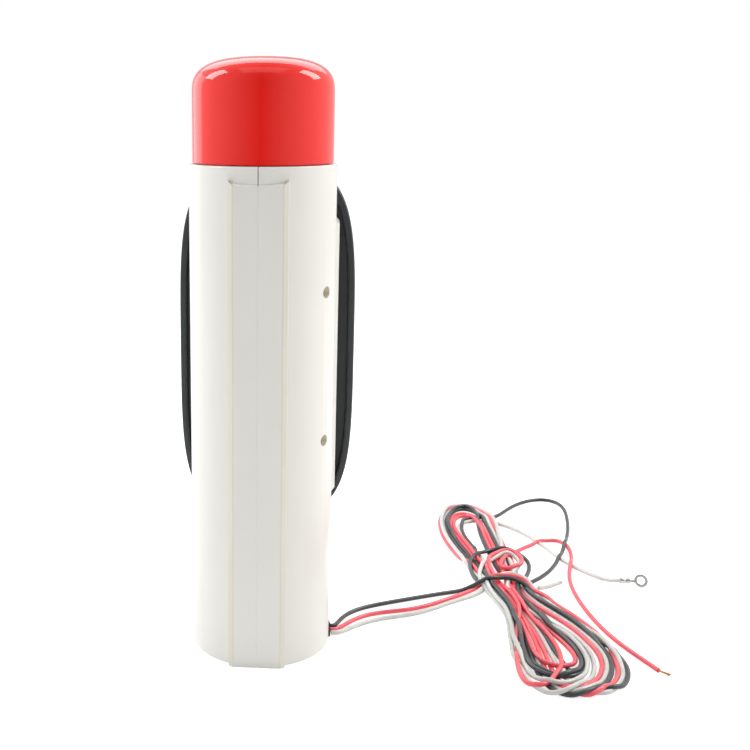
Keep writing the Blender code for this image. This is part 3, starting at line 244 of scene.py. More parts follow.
# The last turn of each lead makes a small loop that lies on top of the waist.
BLACK_RING = [(-106, -68), (-104, -80), (-105.5, -90), (-110, -99), (-117, -106), (-126, -109), (-134.5, -105),
              (-137.5, -95), (-136, -83), (-131, -71)]
WHITE_RING = [(-108, -66), (-110, -78), (-113, -86), (-118, -94), (-125, -101), (-132, -101.5), (-133.5, -94),
              (-129, -82), (-124, -70)]
RED_RING = [(-113, -74, 8.5), (-113.5, -86, 9.5), (-117, -97, 9.5), (-125, -105, 9.5), (-133, -103.5, 9.5),
            (-134.5, -94, 9), (-131, -83, 8.5), (-125.5, -74.5, 8.5), (-120.5, -74, 8), (-119.5, -82, 7.5),
            (-122.5, -92, 7), (-127, -101, 5.5)]
NEAR_Z = (1.6, 3.4, 5.2, 7.2)  # height at which each near turn is laid, before it settles
FAR_Z = (1.6, 3.6, 5.4)
RING_Z = 7.6


def raised(points, height):
    return [(x, y, height) for x, y in points]


def grommet_start(slot, height):
    """The first two points of a lead, square to the face of the grommet."""
    turn = Matrix.Rotation(GROMMET_ANGLE, 3, "Z")
    return [turn @ Vector((GROMMET_FACE_R + out, slot * WIRE_PITCH, height)) / MM for out in (0, 2.4 * MM)]


def wound(lead, over, near, far, ring, last):
    """The points of one lead: over the waist, then near and far turns one after the other."""
    points = [*lead, *over]
    for turn in range(4):
        points += raised(near[turn], NEAR_Z[turn])
        if turn < 2:
            points += raised(far[turn], FAR_Z[turn])
        elif turn == 2 and ring:
            points += raised(ring, RING_Z)
        elif turn == 2:
            points += raised(far[2], FAR_Z[2])
    return points + last


black_points = wound(grommet_start(1, 2.0 * MM) + BLACK_LEAD, BLACK_OVER, BLACK_NEAR, BLACK_FAR, BLACK_RING,
                     raised(BLACK_FAR[2][:-2], 2.6) + raised(BLACK_FAR[2][-2:], 1.3) + BLACK_TAIL)
red_points = wound(grommet_start(0, 1.5 * MM) + RED_LEAD, RED_OVER, RED_NEAR, RED_FAR, None,
                   RED_RING + RED_TAIL)
white_points = wound(grommet_start(-1, 1.5 * MM) + WHITE_LEAD, WHITE_OVER, WHITE_NEAR, WHITE_FAR, WHITE_RING,
                     raised(WHITE_FAR[2][:-2], 2.6) + raised(WHITE_FAR[2][-2:], 1.3) + WHITE_TAIL)


def smooth_line(points, spacing):
    """A Catmull-Rom curve through the points, in metres, with its own points evenly spaced."""
    knots = np.array([tuple(p) for p in points], float) * MM
    knots = np.vstack([2 * knots[0] - knots[1], knots, 2 * knots[-1] - knots[-2]])
    t = np.linspace(0, 1, 24, endpoint=False)[:, None]
    dense = [0.5 * (2 * b + (c - a) * t + (2 * a - 5 * b + 4 * c - d) * t ** 2 + (3 * b - a - 3 * c + d) * t ** 3)
             for a, b, c, d in zip(knots, knots[1:], knots[2:], knots[3:])]
    return even_line(np.vstack([*dense, knots[-2:-1]]), spacing)


def even_line(line, spacing):
    along = np.concatenate([[0], np.cumsum(np.linalg.norm(np.diff(line, axis=0), axis=1))])
    at = np.linspace(0, along[-1], max(2, round(along[-1] / spacing)) + 1)
    return np.stack([np.interp(at, along, line[:, k]) for k in range(3)], axis=1)


def settle(lines, held_start, held_end, rounds):
    """Let the wires sink onto the table and each other, and push apart where they overlap."""
    sizes = [len(line) for line in lines]
    starts = np.concatenate([[0], np.cumsum(sizes)])
    points = np.vstack(lines)
    wanted = points.copy()
    loose = np.ones(len(points))
    for first, size in zip(starts, sizes):
        loose[first:first + held_start] = 0
        loose[first + size - held_end:first + size] = 0
    free = loose[:, None]
    owner = np.repeat(np.arange(len(lines)), sizes)
    place = np.concatenate([np.arange(size) for size in sizes])
    for turn in range(rounds):
        before = points.copy()
        points[:, 2] -= 0.05 * MM * loose
        points[:, :2] += 0.06 * (wanted - points)[:, :2] * free
        for first, size in zip(starts, sizes):
            line = points[first:first + size]
            middle = (line[:-2] + line[2:]) / 2
            line[1:-1] += 0.35 * (middle - line[1:-1]) * free[first + 1:first + size - 1]
        for again in range(2):
            tree = KDTree(len(points))
            for i, p in enumerate(points):
                tree.insert(p, i)
            tree.balance()
            pairs = [(i, j) for i, p in enumerate(points) for _, j, _ in tree.find_range(p, WIRE_D) if j > i]
            pairs = np.array(pairs)
            one, two = pairs[:, 0], pairs[:, 1]
            apart = (owner[one] != owner[two]) | (np.abs(place[one] - place[two]) > 4)
            one, two = one[apart], two[apart]
            gap = points[one] - points[two]
            gap[:, 2] *= 1.6  # wires ride up over one another rather than slide sideways
            length = np.linalg.norm(gap, axis=1)
            true = np.linalg.norm(points[one] - points[two], axis=1)
            push = gap / np.maximum(length, 1e-9)[:, None] * (WIRE_D - true)[:, None] * 0.4
            moves = np.zeros_like(points)
            counts = np.zeros(len(points))
            np.add.at(moves, one, push)
            np.add.at(moves, two, -push)
            np.add.at(counts, one, 1)
            np.add.at(counts, two, 1)
            points += moves / np.maximum(counts, 1)[:, None] ** 0.5 * free
        points[:, 2] = np.maximum(points[:, 2], WIRE_D / 2)
        step = points - before
        size = np.linalg.norm(step, axis=1)
        points = before + step * np.minimum(1, 0.5 * MM / np.maximum(size, 1e-12))[:, None]
    return [points[first:first + size] for first, size in zip(starts, sizes)]


def eased(line, passes):
    """The line with its small kinks drawn out, its ends where they were, and nothing under the table."""
    line = line.copy()
    for _ in range(passes):
        line[3:-3] = 0.5 * line[3:-3] + 0.25 * (line[2:-4] + line[4:-2])
    line[:, 2] = np.maximum(line[:, 2], WIRE_D / 2)
    return line


SETTLE_ROUNDS = 110
EASE_PASSES = 22
settled = settle([smooth_line(points, WIRE_STEP) for points in (black_points, red_points, white_points)],
                 4, 4, SETTLE_ROUNDS)
settled = settle([eased(line, EASE_PASSES) for line in settled], 4, 4, SETTLE_ROUNDS // 8)
settled = [eased(line, 5) for line in settled]


def plastic(name, colour, deep, roughness, cloud=260.0, grain=2400.0, depth=0.06, coat=0.15, soft=0.0):
    """Moulded or extruded plastic: uneven colour and gloss in soft clouds, and a fine surface grain
    of a depth in millimetres. A soft plastic lets a little light through."""
    made, tree, shader = shader_of(name)
    nodes, links = tree.nodes, tree.links
    where = nodes.new("ShaderNodeTexCoord")
    clouds = nodes.new("ShaderNodeTexNoise")
    clouds.name = "clouds"
    clouds.inputs["Scale"].default_value = cloud
    clouds.inputs["Detail"].default_value = 4.0
    links.new(where.outputs["Object"], clouds.inputs["Vector"])
    tint = nodes.new("ShaderNodeValToRGB")
    tint.name = "tint"
    tint.color_ramp.elements[0].position = 0.32
    tint.color_ramp.elements[0].color = (*deep, 1)
    tint.color_ramp.elements[1].position = 0.68
    tint.color_ramp.elements[1].color = (*colour, 1)
    links.new(clouds.outputs["Fac"], tint.inputs["Fac"])
    links.new(tint.outputs["Color"], shader.inputs["Base Color"])
    gloss = nodes.new("ShaderNodeMapRange")
    gloss.inputs["To Min"].default_value = roughness * 0.85
    gloss.inputs["To Max"].default_value = roughness * 1.25
    links.new(clouds.outputs["Fac"], gloss.inputs["Value"])
    links.new(gloss.outputs["Result"], shader.inputs["Roughness"])
    skin = nodes.new("ShaderNodeTexNoise")
    skin.inputs["Scale"].default_value = grain
    skin.inputs["Detail"].default_value = 2.0
    links.new(where.outputs["Object"], skin.inputs["Vector"])
    bump = nodes.new("ShaderNodeBump")
    bump.inputs["Strength"].default_value = 0.25
    bump.inputs["Distance"].default_value = depth * MM
    links.new(skin.outputs["Fac"], bump.inputs["Height"])
    links.new(bump.outputs["Normal"], shader.inputs["Normal"])
    shader.inputs["Coat Weight"].default_value = coat
    shader.inputs["Coat Roughness"].default_value = 0.12
    shader.inputs["Subsurface Weight"].default_value = soft
    shader.inputs["Subsurface Scale"].default_value = 0.0008
    return made


black_pvc = plastic("black_pvc", (0.044, 0.054, 0.058), (0.030, 0.038, 0.041), 0.28, coat=0.35, soft=0.05)
red_pvc = plastic("red_pvc", (0.98, 0.125, 0.165), (0.92, 0.095, 0.135), 0.30, coat=0.35, soft=0.12)
white_pvc = plastic("white_pvc", (0.70, 0.70, 0.675), (0.63, 0.63, 0.605), 0.30, coat=0.35, soft=0.12)


def wire(name, line, finish):
    """A round wire along a line, as a curve of one open spline."""
    curve = bpy.data.curves.new(name, "CURVE")
    curve.dimensions = "3D"
    curve.bevel_depth = WIRE_D / 2
    curve.bevel_resolution = 4
    curve.use_fill_caps = True
    spline = curve.splines.new("POLY")
    spline.points.add(len(line) - 1)
    for point, place in zip(spline.points, line):
        point.co = (*place, 1.0)
    curve.materials.append(finish)
    piece = bpy.data.objects.new(name, curve)
    collection.objects.link(piece)
    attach(piece, "case")
    return piece


def length_of(line):
    return round(float(np.linalg.norm(np.diff(line, axis=0), axis=1).sum()), 3)


black_wire = wire("black_wire", settled[0], black_pvc)
red_wire = wire("red_wire", settled[1], red_pvc)
white_wire = wire("white_wire", settled[2], white_pvc)
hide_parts("black_lead", "lead_hank", "black_tail")
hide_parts("red_lead", "red_tail")
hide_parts("white_lead", "white_tail")

# The red lead's end is stripped: seven tinned-free copper strands, twisted and slightly splayed.
STRANDS = 7
STRAND_D = 0.34 * MM
STRAND_TWIST = 2.2  # turns over the bare length
bare_from, bare_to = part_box("red_bare_end")
bare_root = Vector(settled[1][-1])
bare_tip = Vector((bare_from.x + 0.4 * MM, bare_to.y - 0.4 * MM, 0.6 * MM))
copper, copper_tree, copper_shader = shader_of("bare_copper")
copper_shader.inputs["Metallic"].default_value = 1.0
copper_shader.inputs["Roughness"].default_value = 0.28
tarnish = copper_tree.nodes.new("ShaderNodeTexNoise")
tarnish.inputs["Scale"].default_value = 900.0
copper_tree.links.new(copper_tree.nodes.new("ShaderNodeTexCoord").outputs["Object"], tarnish.inputs["Vector"])
bright = copper_tree.nodes.new("ShaderNodeValToRGB")
bright.color_ramp.elements[0].color = (0.62, 0.26, 0.12, 1)
bright.color_ramp.elements[1].color = (0.90, 0.50, 0.30, 1)
copper_tree.links.new(tarnish.outputs["Fac"], bright.inputs["Fac"])
copper_tree.links.new(bright.outputs["Color"], copper_shader.inputs["Base Color"])
strands = bpy.data.curves.new("copper_strands", "CURVE")
strands.dimensions = "3D"
strands.bevel_depth = STRAND_D / 2
strands.bevel_resolution = 2
strands.use_fill_caps = True
along = (bare_tip - bare_root).normalized()
level = along.cross(Vector((0, 0, 1))).normalized()
upright = level.cross(along)
for number in range(STRANDS):
    spline = strands.splines.new("POLY")
    steps = 24
    spline.points.add(steps)
    for i, point in enumerate(spline.points):
        t = i / steps
        turn = 2 * pi * (number / (STRANDS - 1) + STRAND_TWIST * t)
        spread = 0.0 if number == STRANDS - 1 else (0.33 + 0.22 * t ** 3) * MM
        spot = bare_root.lerp(bare_tip, t * (1.0 - 0.03 * number)) + Vector()
        spot += level * (spread * cos(turn)) + upright * (spread * sin(turn))
        spot.z = max(spot.z, STRAND_D / 2 + 0.02 * MM)
        point.co = (*spot, 1.0)
strand_object = bpy.data.objects.new("copper_strands", strands)
strand_mesh = bpy.data.meshes.new_from_object(strand_object)
bpy.data.objects.remove(strand_object)
strand_mesh.materials.clear()
strand_mesh.materials.append(copper)
copper_strands = bpy.data.objects.new("copper_strands", strand_mesh)
collection.objects.link(copper_strands)
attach(copper_strands, "case")
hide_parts("red_bare_end")


# The white lead ends in a tinned ring terminal, crimped on and rolled a little towards its side.
RING_X, RING_Y, RING_Z = -189.2 * MM, -70.4 * MM, 2.75 * MM
RING_OUT_R, RING_HOLE_R, PLATE_T = 3.4 * MM, 2.0 * MM, 0.8 * MM
RING_ROLL = radians(-48)
terminal = bmesh.new()
around = 56
rounds = [(RING_OUT_R, -0.32), (RING_OUT_R, 0.32), (RING_OUT_R - 0.12 * MM, 0.5), (RING_HOLE_R + 0.12 * MM, 0.5),
          (RING_HOLE_R, 0.32), (RING_HOLE_R, -0.32), (RING_HOLE_R + 0.12 * MM, -0.5), (RING_OUT_R - 0.12 * MM, -0.5)]
hoops = [[terminal.verts.new((radius * cos(2 * pi * i / around), radius * sin(2 * pi * i / around), z * PLATE_T))
          for radius, z in rounds] for i in range(around)]
for one, two in zip(hoops, hoops[1:] + hoops[:1]):
    for i in range(len(rounds)):
        j = (i + 1) % len(rounds)
        terminal.faces.new((one[i], one[j], two[j], two[i]))
# Neck and barrel: cross sections (distance from the ring, half width, half height) along the lead.
sections = [(3.0, 1.15, 0.36), (4.4, 1.0, 0.38), (5.2, 1.1, 0.55), (5.7, 1.5, 1.45), (6.4, 1.55, 1.5), (6.9, 1.6, 1.2),
            (7.5, 1.62, 1.05), (8.1, 1.6, 1.2), (8.7, 1.55, 1.5), (10.2, 1.5, 1.5), (10.5, 1.42, 1.42)]
tubes = [[terminal.verts.new((distance * MM, half_w * MM * cos(2 * pi * i / 28), half_h * MM * sin(2 * pi * i / 28)))
          for i in range(28)] for distance, half_w, half_h in sections]
for one, two in zip(tubes, tubes[1:]):
    for i in range(28):
        j = (i + 1) % 28
        terminal.faces.new((one[i], one[j], two[j], two[i]))
terminal.faces.new(tubes[0])
terminal.faces.new(tubes[-1])
bmesh.ops.recalc_face_normals(terminal, faces=terminal.faces)
bmesh.ops.transform(terminal, verts=terminal.verts, matrix=Matrix.Translation((RING_X, RING_Y, RING_Z))
                    @ Matrix.Rotation(RING_ROLL, 4, "X"))
terminal_mesh = bpy.data.meshes.new("ring_end")
terminal.to_mesh(terminal_mesh)
terminal.free()
terminal_mesh.shade_smooth()
terminal_mesh.set_sharp_from_angle(angle=radians(35))
ring_end = bpy.data.objects.new("ring_end", terminal_mesh)
collection.objects.link(ring_end)
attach(ring_end, "case")
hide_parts("ring_terminal")

# A short cut-off end of white wire sticks out from under the hank.
spare_curve = wire("spare_tip", [Vector(point) * MM for point in
                                 ((-136.0, -58.4, 2.2), (-138.8, -60.9, 1.5), (-142.4, -63.9, 1.1),
                                  (-146.4, -67.3, 1.05), (-149.4, -69.9, 1.05))], white_pvc)
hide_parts("spare_end")

print("wire lengths", [length_of(line) for line in settled])

# ---- Case halves ------------------------------------------------------------------------------------
# Two half shells injection moulded in white ABS, which meet on the middle line of the mounting rail.
# The bevelled corners of the rail carry a painted beige shade, the screw recesses a painted warm glow, and the skin
# has a fine grain.


def smooth_copy(name, node, finish, body="case", sharp=22, replace=True):
    """The CAD node's own shape with its points merged, shaded smooth up to an angle in degrees."""
    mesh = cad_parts[node].data.copy()
    mesh.name = name
    merged = bmesh.new()
    merged.from_mesh(mesh)
    bmesh.ops.remove_doubles(merged, verts=merged.verts, dist=0.002 * MM)
    merged.to_mesh(mesh)
    merged.free()
    if mesh.has_custom_normals:
        mesh.attributes.remove(mesh.attributes["custom_normal"])
    mesh.shade_smooth()
    mesh.set_sharp_from_angle(angle=radians(sharp))
    mesh.materials.clear()
    mesh.materials.append(finish)
    piece = bpy.data.objects.new(name, mesh)
    collection.objects.link(piece)
    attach(piece, body)
    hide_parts(node)
    return piece


def painted(node, finish):
    """A CAD node that is shown as it is, in a better material."""
    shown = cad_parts[node]
    shown.data.materials.clear()
    shown.data.materials.append(finish)
    for face in shown.data.polygons:
        face.material_index = 0


white_abs = plastic("white_abs", (0.86, 0.846, 0.798), (0.84, 0.824, 0.772), 0.30, cloud=22.0, grain=3000.0,
                    depth=0.012, coat=0.25)
RAIL_EDGE_IN = 9.9 * MM  # the corners of the rail with the painted beige shade lie between these distances from the middle
RAIL_EDGE_OUT = 12.7 * MM
RAIL_BACK = 28.6 * MM
RAIL_TOP = 208.8 * MM
SCREW_MID, SCREW_HALF_GAP, SCREW_Y = 130.4 * MM, 31.9 * MM, 14.2 * MM  # the two screw recesses in the side
RECESS_R, RECESS_DEEP = 2.53 * MM, -20.0 * MM
nodes, links = white_abs.node_tree.nodes, white_abs.node_tree.links


def maths(operation, first, second=None):
    """A math node of this material; each value is a socket or a number."""
    step = nodes.new("ShaderNodeMath")
    step.operation = operation
    for socket, value in zip(step.inputs, (first, second)):
        if isinstance(value, (int, float)):
            socket.default_value = value
        elif value is not None:
            links.new(value, socket)
    return step.outputs[0]


place = nodes.new("ShaderNodeSeparateXYZ")
links.new(nodes.new("ShaderNodeTexCoord").outputs["Object"], place.inputs[0])
across = maths("ABSOLUTE", place.outputs["X"])
# Painted shade: a beige tint in soft clouds along the rail's bevelled corners.
inside = maths("GREATER_THAN", across, RAIL_EDGE_IN)
outside = maths("LESS_THAN", across, RAIL_EDGE_OUT)
behind = maths("GREATER_THAN", place.outputs["Y"], RAIL_BACK)
below_top = maths("LESS_THAN", place.outputs["Z"], RAIL_TOP)
corner_band = maths("MULTIPLY", maths("MULTIPLY", inside, outside), maths("MULTIPLY", behind, below_top))
# Painted glow: the walls of the two screw recesses are tinted warm beige, standing in for light through the plastic.
up_off = maths("SUBTRACT", maths("ABSOLUTE", maths("SUBTRACT", place.outputs["Z"], SCREW_MID)), SCREW_HALF_GAP)
back_off = maths("SUBTRACT", place.outputs["Y"], SCREW_Y)
off_axis = maths("ADD", maths("MULTIPLY", up_off, up_off), maths("MULTIPLY", back_off, back_off))
recess = maths("MULTIPLY", maths("LESS_THAN", off_axis, RECESS_R * RECESS_R),
               maths("LESS_THAN", place.outputs["X"], RECESS_DEEP))
# The painted shade on the rail's corners and the painted glow in the recesses, mixed into the case's colour.
painted_shade_glow = maths("MAXIMUM", maths("MULTIPLY", corner_band, maths("MULTIPLY", nodes["clouds"].outputs["Fac"], 0.8)),
             maths("MULTIPLY", recess, 0.9))
shade_glow_tinted = nodes.new("ShaderNodeMix")
shade_glow_tinted.data_type = "RGBA"
links.new(painted_shade_glow, shade_glow_tinted.inputs["Factor"])
links.new(nodes["tint"].outputs["Color"], shade_glow_tinted.inputs["A"])
shade_glow_tinted.inputs["B"].default_value = (0.70, 0.64, 0.50, 1)
links.new(shade_glow_tinted.outputs["Result"], nodes["Principled BSDF"].inputs["Base Color"])

case_right = smooth_copy("case_half_right", "housing_right", white_abs)
case_left = smooth_copy("case_half_left", "housing_left", white_abs)

rubber = plastic("black_rubber", (0.030, 0.030, 0.030), (0.022, 0.022, 0.022), 0.70, cloud=90.0, grain=1800.0,
                 depth=0.05, coat=0.0)

# Over the rubber seal, a thin bead of white sealant fills the gap between the halves to the rail's face.
painted("seam_seal", rubber)
BEAD_HALF, BEAD_IN, BEAD_FACE, BEAD_CROWN = 0.148 * MM, 30.3 * MM, 31.19 * MM, 31.26 * MM
BEAD_LOW, BEAD_HIGH = 0.4 * MM, 206.6 * MM
bead = bmesh.new()
outline = [(-BEAD_HALF, BEAD_IN), (BEAD_HALF, BEAD_IN), (BEAD_HALF, BEAD_FACE), (0.0, BEAD_CROWN),
           (-BEAD_HALF, BEAD_FACE)]
end = bead.faces.new([bead.verts.new((x, y, BEAD_LOW)) for x, y in outline])
raised_end = bmesh.ops.extrude_face_region(bead, geom=[end])["geom"]
bmesh.ops.translate(bead, verts=[v for v in raised_end if isinstance(v, bmesh.types.BMVert)],
                    vec=(0, 0, BEAD_HIGH - BEAD_LOW))
bmesh.ops.recalc_face_normals(bead, faces=bead.faces)
bead_mesh = bpy.data.meshes.new("seam_bead")
bead.to_mesh(bead_mesh)
bead.free()
sealant = plastic("white_sealant", (0.86, 0.85, 0.82), (0.80, 0.79, 0.75), 0.5, cloud=200.0, grain=1500.0,
                  depth=0.03, coat=0.0, soft=0.1)
bead_mesh.materials.append(sealant)
seam_bead = bpy.data.objects.new("seam_bead", bead_mesh)
collection.objects.link(seam_bead)
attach(seam_bead, "case")

# ---- Screws -----------------------------------------------------------------------------------------
# Stainless pan-head screws with a cross recess and a rolled thread. They hold the case halves, the
# foot, the deck, the control cover and the main board. One Geometry Nodes tree makes every set.
stainless, steel_tree, steel_shader = shader_of("stainless_steel")
steel_shader.inputs["Base Color"].default_value = (0.62, 0.62, 0.60, 1)
steel_shader.inputs["Metallic"].default_value = 1.0
brushed = steel_tree.nodes.new("ShaderNodeTexNoise")
brushed.inputs["Scale"].default_value = 1500.0
brushed.inputs["Detail"].default_value = 3.0
steel_tree.links.new(steel_tree.nodes.new("ShaderNodeTexCoord").outputs["Object"], brushed.inputs["Vector"])
dull = steel_tree.nodes.new("ShaderNodeMapRange")
dull.inputs["To Min"].default_value = 0.22
dull.inputs["To Max"].default_value = 0.42
steel_tree.links.new(brushed.outputs["Fac"], dull.inputs["Value"])
steel_tree.links.new(dull.outputs["Result"], steel_shader.inputs["Roughness"])


class Tree:
    """A Geometry Nodes tree with named inputs, built node by node."""

    def __init__(self, name, sizes):
        self.group = bpy.data.node_groups.new(name, "GeometryNodeTree")
        face = self.group.interface
        face.new_socket("Geometry", in_out="INPUT", socket_type="NodeSocketGeometry")
        self.names = {}
        for label, value in sizes.items():
            kind = {int: "NodeSocketInt", float: "NodeSocketFloat", tuple: "NodeSocketVector"}[type(value)]
            socket = face.new_socket(label, in_out="INPUT", socket_type=kind)
            socket.default_value = value
            self.names[label] = socket.identifier
        face.new_socket("Geometry", in_out="OUTPUT", socket_type="NodeSocketGeometry")
        self.start = self.group.nodes.new("NodeGroupInput")
        self.end = self.group.nodes.new("NodeGroupOutput")

    def size(self, label):
        return self.start.outputs[label]

    def link(self, value, socket):
        if isinstance(value, bpy.types.NodeSocket):
            self.group.links.new(value, socket)
        elif value is not None:
            socket.default_value = value

    def node(self, kind, settings=None, **values):
        """A node with its properties and its inputs set; inputs go by name, with _ for a space."""
        made = self.group.nodes.new(kind)
        for key, value in (settings or {}).items():
            setattr(made, key, value)
        for key, value in values.items():
            self.link(value, made.inputs[key.replace("_", " ")])
        return made

    def maths(self, operation, first, second=0.0):
        step = self.group.nodes.new("ShaderNodeMath")
        step.operation = operation
        self.link(first, step.inputs[0])
        self.link(second, step.inputs[1])
        return step.outputs[0]

    def vector(self, x=0.0, y=0.0, z=0.0):
        return self.node("ShaderNodeCombineXYZ", X=x, Y=y, Z=z).outputs[0]

    def moved(self, geometry, offset):
        return self.node("GeometryNodeTransform", Geometry=geometry, Translation=offset).outputs[0]

    def join(self, *parts):
        joiner = self.group.nodes.new("GeometryNodeJoinGeometry")
        for part in parts:
            self.group.links.new(part, joiner.inputs[0])
        return joiner.outputs[0]

    def finish(self, geometry, finish):
        """Real geometry in one material, out of the tree."""
        real = self.node("GeometryNodeRealizeInstances", Geometry=geometry)
        dressed = self.node("GeometryNodeSetMaterial", Geometry=real.outputs[0])
        dressed.inputs["Material"].default_value = finish
        self.group.links.new(dressed.outputs[0], self.end.inputs[0])


def grown(name, tree, points, sharp=30, **sizes):
    """Runs a tree on a mesh of loose points, and keeps the result as a plain mesh."""
    seeds = bpy.data.meshes.new(name)
    seeds.from_pydata([tuple(point) for point in points], [], [])
    seed = bpy.data.objects.new(name + "_seed", seeds)
    collection.objects.link(seed)
    grow = seed.modifiers.new("grow", "NODES")
    grow.node_group = tree.group
    for label, value in sizes.items():
        grow[tree.names[label.replace("_", " ")]] = value
    bpy.context.view_layer.update()
    mesh = bpy.data.meshes.new_from_object(seed.evaluated_get(bpy.context.evaluated_depsgraph_get()))
    seed.modifiers.clear()
    bpy.data.objects.remove(seed)
    mesh.shade_smooth()
    mesh.set_sharp_from_angle(angle=radians(sharp))
    piece = bpy.data.objects.new(name, mesh)
    collection.objects.link(piece)
    return piece


screw = Tree("pan_head_screw", {"Head Radius": 0.0022, "Head Height": 0.0015, "Shank Radius": 0.0013,
                                "Length": 0.008, "Turn": (0.0, 0.0, 0.0)})
low_half = screw.maths("MULTIPLY", screw.size("Head Height"), 0.55)
high_half = screw.maths("MULTIPLY", screw.size("Head Height"), 0.45)
skirt = screw.node("GeometryNodeMeshCylinder", Vertices=40, Radius=screw.size("Head Radius"), Depth=low_half)
skirt_z = screw.maths("MULTIPLY", screw.size("Head Height"), -0.725)
crown = screw.node("GeometryNodeMeshCone", Vertices=40, Depth=high_half,
                   Radius_Top=screw.maths("MULTIPLY", screw.size("Head Radius"), 0.72),
                   Radius_Bottom=screw.size("Head Radius"))
crown_z = screw.maths("MULTIPLY", screw.size("Head Height"), -0.45)
slot_long = screw.maths("MULTIPLY", screw.size("Head Radius"), 1.15)
slot_wide = screw.maths("MULTIPLY", screw.size("Head Radius"), 0.26)
slot_size = screw.vector(slot_long, slot_wide, screw.maths("MULTIPLY", screw.size("Head Height"), 1.1))
bar = screw.node("GeometryNodeMeshCube", Size=slot_size).outputs[0]
bar_two = screw.node("GeometryNodeTransform", Geometry=bar, Rotation=(0.0, 0.0, pi / 2)).outputs[0]
cut_crown = screw.moved(crown.outputs[0], screw.vector(z=crown_z))
for tool in (bar, bar_two):
    cut = screw.group.nodes.new("GeometryNodeMeshBoolean")
    cut.operation = "DIFFERENCE"
    cut.solver = "EXACT"
    screw.group.links.new(cut_crown, cut.inputs[0])
    screw.group.links.new(tool, cut.inputs[1])
    cut_crown = cut.outputs[0]
shank_long = screw.maths("SUBTRACT", screw.size("Length"), screw.size("Head Height"))
core_r = screw.maths("MULTIPLY", screw.size("Shank Radius"), 0.80)
core = screw.node("GeometryNodeMeshCylinder", Vertices=20, Radius=core_r,
                  Depth=screw.maths("SUBTRACT", shank_long, screw.size("Shank Radius")))
core_z = screw.maths("MULTIPLY", screw.maths("ADD", screw.maths("MULTIPLY", screw.size("Head Height"), 2.0),
                                             screw.maths("SUBTRACT", shank_long, screw.size("Shank Radius"))), -0.5)
tip = screw.node("GeometryNodeMeshCone", Vertices=20, Depth=screw.size("Shank Radius"), Radius_Top=core_r,
                 Radius_Bottom=screw.maths("MULTIPLY", screw.size("Shank Radius"), 0.35))
tip_z = screw.maths("MULTIPLY", screw.size("Length"), -1.0)
pitch = screw.maths("MULTIPLY", screw.size("Shank Radius"), 0.8)
turns = screw.maths("DIVIDE", screw.maths("MULTIPLY", shank_long, 0.82), pitch)
helix = screw.node("GeometryNodeCurveSpiral", Resolution=16, Rotations=turns, Start_Radius=core_r,
                   End_Radius=core_r, Height=screw.maths("MULTIPLY", shank_long, 0.82))
ridge = screw.node("GeometryNodeCurvePrimitiveCircle", Resolution=4,
                   Radius=screw.maths("MULTIPLY", screw.size("Shank Radius"), 0.2))
thread = screw.node("GeometryNodeCurveToMesh", Curve=helix.outputs[0], Profile_Curve=ridge.outputs[0],
                    Fill_Caps=True)
thread_z = screw.maths("MULTIPLY", screw.maths("SUBTRACT", screw.size("Length"), screw.size("Shank Radius")), -0.98)
whole = screw.join(screw.moved(skirt.outputs[0], screw.vector(z=skirt_z)), cut_crown,
                   screw.moved(core.outputs[0], screw.vector(z=core_z)),
                   screw.moved(tip.outputs[0], screw.vector(z=tip_z)),
                   screw.moved(thread.outputs[0], screw.vector(z=thread_z)))
points = screw.node("GeometryNodeMeshToPoints", Mesh=screw.start.outputs[0])
planted = screw.node("GeometryNodeInstanceOnPoints", Points=points.outputs[0], Instance=whole,
                     Rotation=screw.size("Turn"))
screw.finish(planted.outputs[0], stainless)

# The long case screws are tinted warm beige, a painted glow that matches the light through the plastic in their
# recesses; the others are left bright.
warm_glow_steel = stainless.copy()
warm_glow_steel.name = "warm_glow_steel"
warm_glow_steel.node_tree.nodes["Principled BSDF"].inputs["Base Color"].default_value = (0.80, 0.62, 0.34, 1)

# Each set: its CAD nodes, the way its shanks point, then head radius and height and shank radius.
SCREW_SETS = {
    "case_screws": ([f"housing_screw_{i}" for i in (1, 2)], (1, 0, 0), 2.2, 2.2, 1.4),
    "foot_screws": ([f"base_screw_{i}" for i in (1, 2, 3)], (0, 0, 1), 2.8, 1.3, 1.3),
    "deck_screws": ([f"deck_screw_{i}" for i in (1, 2, 3)], (0, 0, -1), 1.7, 1.2, 1.2),
    "cover_screws": ([f"cover_screw_{i}" for i in (1, 2, 3, 4)], (0, 1, 0), 2.7, 2.0, 1.2),
    "board_screws": ([f"board_screw_{i}" for i in (1, 2)], (0, -1, 0), 2.2, 1.4, 1.2)}
for name, (members, way, head_r, head_h, shank_r) in SCREW_SETS.items():
    way = Vector(way)
    heads = []
    for member in members:
        low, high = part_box(member)
        middle, half = (low + high) / 2, (high - low) / 2
        reach = abs(half.dot(way))
        heads.append(middle - way * reach)
    turn = way.to_track_quat("-Z", "Y").to_euler()
    made = grown(name, screw, heads, Head_Radius=head_r * MM, Head_Height=head_h * MM, Shank_Radius=shank_r * MM,
                 Length=2 * reach, Turn=tuple(turn))
    # The case screws take the warm beige of the painted glow.
    if name == "case_screws":
        made.data.materials[0] = warm_glow_steel
    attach(made, "case")
    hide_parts(*members)

# ---- Foot -------------------------------------------------------------------------------------------
# A round white cover closes the foot on an O-ring, and a soft rubber grommet in the case's rim lets
# the three leads out side by side.
foot = smooth_copy("foot_cover", "base_cover", white_abs)
painted("base_o_ring", rubber)
grommet = smooth_copy("lead_grommet", "cable_grommet", rubber)
swell = grommet.modifiers.new("round", "BEVEL")
swell.width = 0.35 * MM
swell.segments = 3
swell.angle_limit = radians(40)

